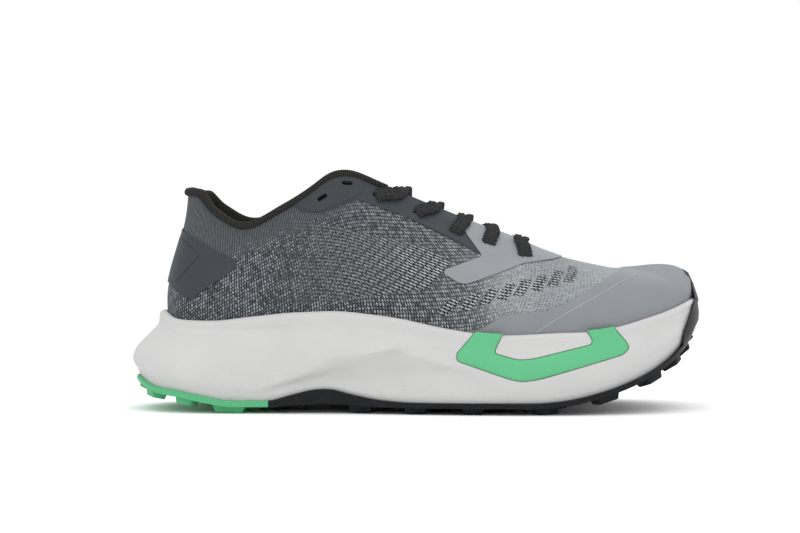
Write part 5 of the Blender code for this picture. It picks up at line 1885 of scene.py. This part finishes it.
def ribbed_cuff():
    """Ribbed knit, nearly black with an olive cast: short ribs across the roll, a plain lining."""
    k = Recipe("ribbed_cuff", roughness=0.95, specular=0.1)
    u, v, _ = k.split(k.cloth())
    loops = k.times(k.wave(u, 1.05), k.line(k.wave(v, 0.8), 0.45, 0.55))
    tone = k.times(loops, k.plus(0.4, k.noise(k.joined(u, v), 0.8, 2.0)))
    k.colour(k.mix(tone, srgb(17, 18, 18), srgb(66, 66, 62)))
    k.bump(loops, 0.25 * MM, 0.7)
    return k.material


def tongue_mesh():
    """Grey spacer mesh with small round holes."""
    k = Recipe("tongue_mesh", roughness=0.95, specular=0.1)
    shoe = k.shoe()
    open_mesh = k.band(k.grain(shoe, 1.5), 0.28, 0.45)
    body = k.mix(open_mesh, srgb(40, 43, 48), srgb(76, 80, 87))
    k.colour(k.mix(k.times(k.noise(shoe, 0.6, 2.0), 0.4), body, srgb(58, 62, 68)))
    k.bump(open_mesh, 0.3 * MM, 0.6)
    return k.material


def insole_cloth():
    """Brushed dark cloth with a faint square weave."""
    k = Recipe("insole_cloth", roughness=0.95, specular=0.1)
    shoe = k.shoe()
    x, y, _ = k.split(shoe)
    weave = k.times(*(k.math("SINE", k.times(way, 5.2)) for way in (x, y)))
    tone = k.line(weave, 0.3, k.noise(shoe, 6.0, 3.0))
    k.colour(k.mix(tone, srgb(34, 35, 37), srgb(66, 67, 70)))
    k.bump(weave, 0.12 * MM, 0.6)
    return k.material


def moulded_foam():
    """Pale grey foam with a fine pebbled skin, darker in soft patches on its lowest part."""
    k = Recipe("moulded_foam", roughness=0.6, specular=0.25)
    shoe = k.shoe()
    _, _, z = k.split(shoe)
    pebble = k.grain(shoe, 0.55)
    # Soft darker patches that fade out from 8 to 22 mm over the floor, so the foam is darker
    # towards the bottom.
    low_dark_patches = k.times(k.band(k.noise(shoe, 5.0, 5.0, 0.65), 0.60, 0.72), k.beyond(z, 8.0, 22.0))
    body = k.mix(k.noise(shoe, 22.0, 4.0), srgb(186, 186, 186), srgb(196, 196, 195))
    body = k.mix(k.times(pebble, 0.25), body, srgb(170, 170, 170))
    k.colour(k.mix(k.times(low_dark_patches, 0.35), body, srgb(150, 149, 146)))
    k.bump(k.plus(pebble, k.times(k.noise(shoe, 0.3, 2.0), 0.5)), 0.09 * MM, 0.6)
    return k.material


def green_foam():
    k = Recipe("green_foam", roughness=0.5, specular=0.25)
    shoe = k.shoe()
    fine = k.noise(shoe, 0.35, 2.0)
    body = k.mix(k.noise(shoe, 16.0, 3.0), srgb(88, 173, 122), srgb(95, 180, 130))
    k.colour(k.mix(k.times(fine, 0.2), body, srgb(78, 164, 112)))
    k.bump(fine, 0.05 * MM, 0.5)
    return k.material


def rubber_look(name, deep, pale):
    """Satin rubber, paler and duller where it scuffs."""
    k = Recipe(name, roughness=0.55, specular=0.12)
    shoe = k.shoe()
    _, _, z = k.split(shoe)
    scuff = k.band(k.noise(shoe, 3.5, 5.0, 0.7), 0.52, 0.70)
    worn = k.times(scuff, k.line(k.beyond(z, 0.5, 4.0), 0.5, 0.25))
    k.colour(k.mix(worn, deep, pale))
    k.rough(k.line(worn, 0.25, 0.45))
    k.bump(k.noise(shoe, 0.5, 3.0, 0.6), 0.06 * MM, 0.5)
    return k.material


def lace_braid():
    """Black braided cord: fine ribs aslant over the stitches, with painted shade in the grooves and
    a painted highlight on the rib backs.
    """
    k = Recipe("lace_braid", roughness=0.9, specular=0.12)
    u, v, _ = k.split(k.cloth())
    ribs = k.wave(k.line(u, 0.55, v), 0.95)
    fleck = k.noise(k.joined(u, v), 0.6, 2.0)
    # The colour holds painted light: near black as painted shade in the grooves between the ribs,
    # paler as a painted highlight on their backs.
    tone = k.times(k.math("POWER", ribs, 1.6), k.plus(0.35, fleck))
    k.colour(k.mix(tone, srgb(7, 7, 8), srgb(88, 89, 91)))
    k.bump(ribs, 0.3 * MM, 0.9)
    return k.material


# Stage, lights and camera


def make_floor():
    bpy.ops.object.select_all(action="DESELECT")
    bpy.ops.mesh.primitive_plane_add(size=FLOOR_SIZE, location=(0, 0, 0))
    floor = bpy.context.object
    floor.name = floor.data.name = "floor"
    k = Recipe("pale_floor", roughness=0.9, specular=0.1)
    k.colour(k.mix(k.noise(k.shoe(), 60.0, 2.0), *FLOOR_TONES))
    floor.data.materials.append(k.material)


def make_light(name, place_at, size, power):
    bpy.ops.object.light_add(type="AREA", location=place_at)
    lamp = bpy.context.object
    lamp.name = name
    lamp.data.shape = "RECTANGLE"
    lamp.data.size, lamp.data.size_y = size
    lamp.data.energy = power
    lamp.rotation_euler = (Vector(LIGHT_AIM) - Vector(place_at)).to_track_quat("-Z", "Y").to_euler()


def make_lights():
    """A large softbox overhead, a softer one in front, and an even pale studio all round."""
    for light in LIGHTS:
        make_light(*light)
    world = bpy.data.worlds.new("studio")
    bpy.context.scene.world = world
    world.use_nodes = True
    background = world.node_tree.nodes["Background"]
    background.inputs["Color"].default_value = (1, 1, 1, 1)
    background.inputs["Strength"].default_value = STUDIO_STRENGTH


def make_camera():
    bpy.ops.object.camera_add(location=CAMERA_PLACE)
    camera = bpy.context.object
    camera.data.lens = FOCAL_LENGTH
    camera.data.sensor_width = SENSOR_WIDTH
    camera.data.clip_start = 0.01
    camera.rotation_euler = (math.radians(90), math.radians(CAMERA_ROLL), 0)
    bpy.context.scene.camera = camera


def build():
    make_camera()
    cutters = [slot_cutters(side) for side in (-1, 1)]
    make_upper(cutters)
    make_overlays(cutters)
    make_collar(cutters)
    remove(*cutters)
    make_tongue()
    make_insole()
    make_midsole()
    make_inserts()
    make_treads()
    make_laces()
    make_floor()
    make_lights()
    bpy.context.scene.view_settings.view_transform = "Standard"


build()
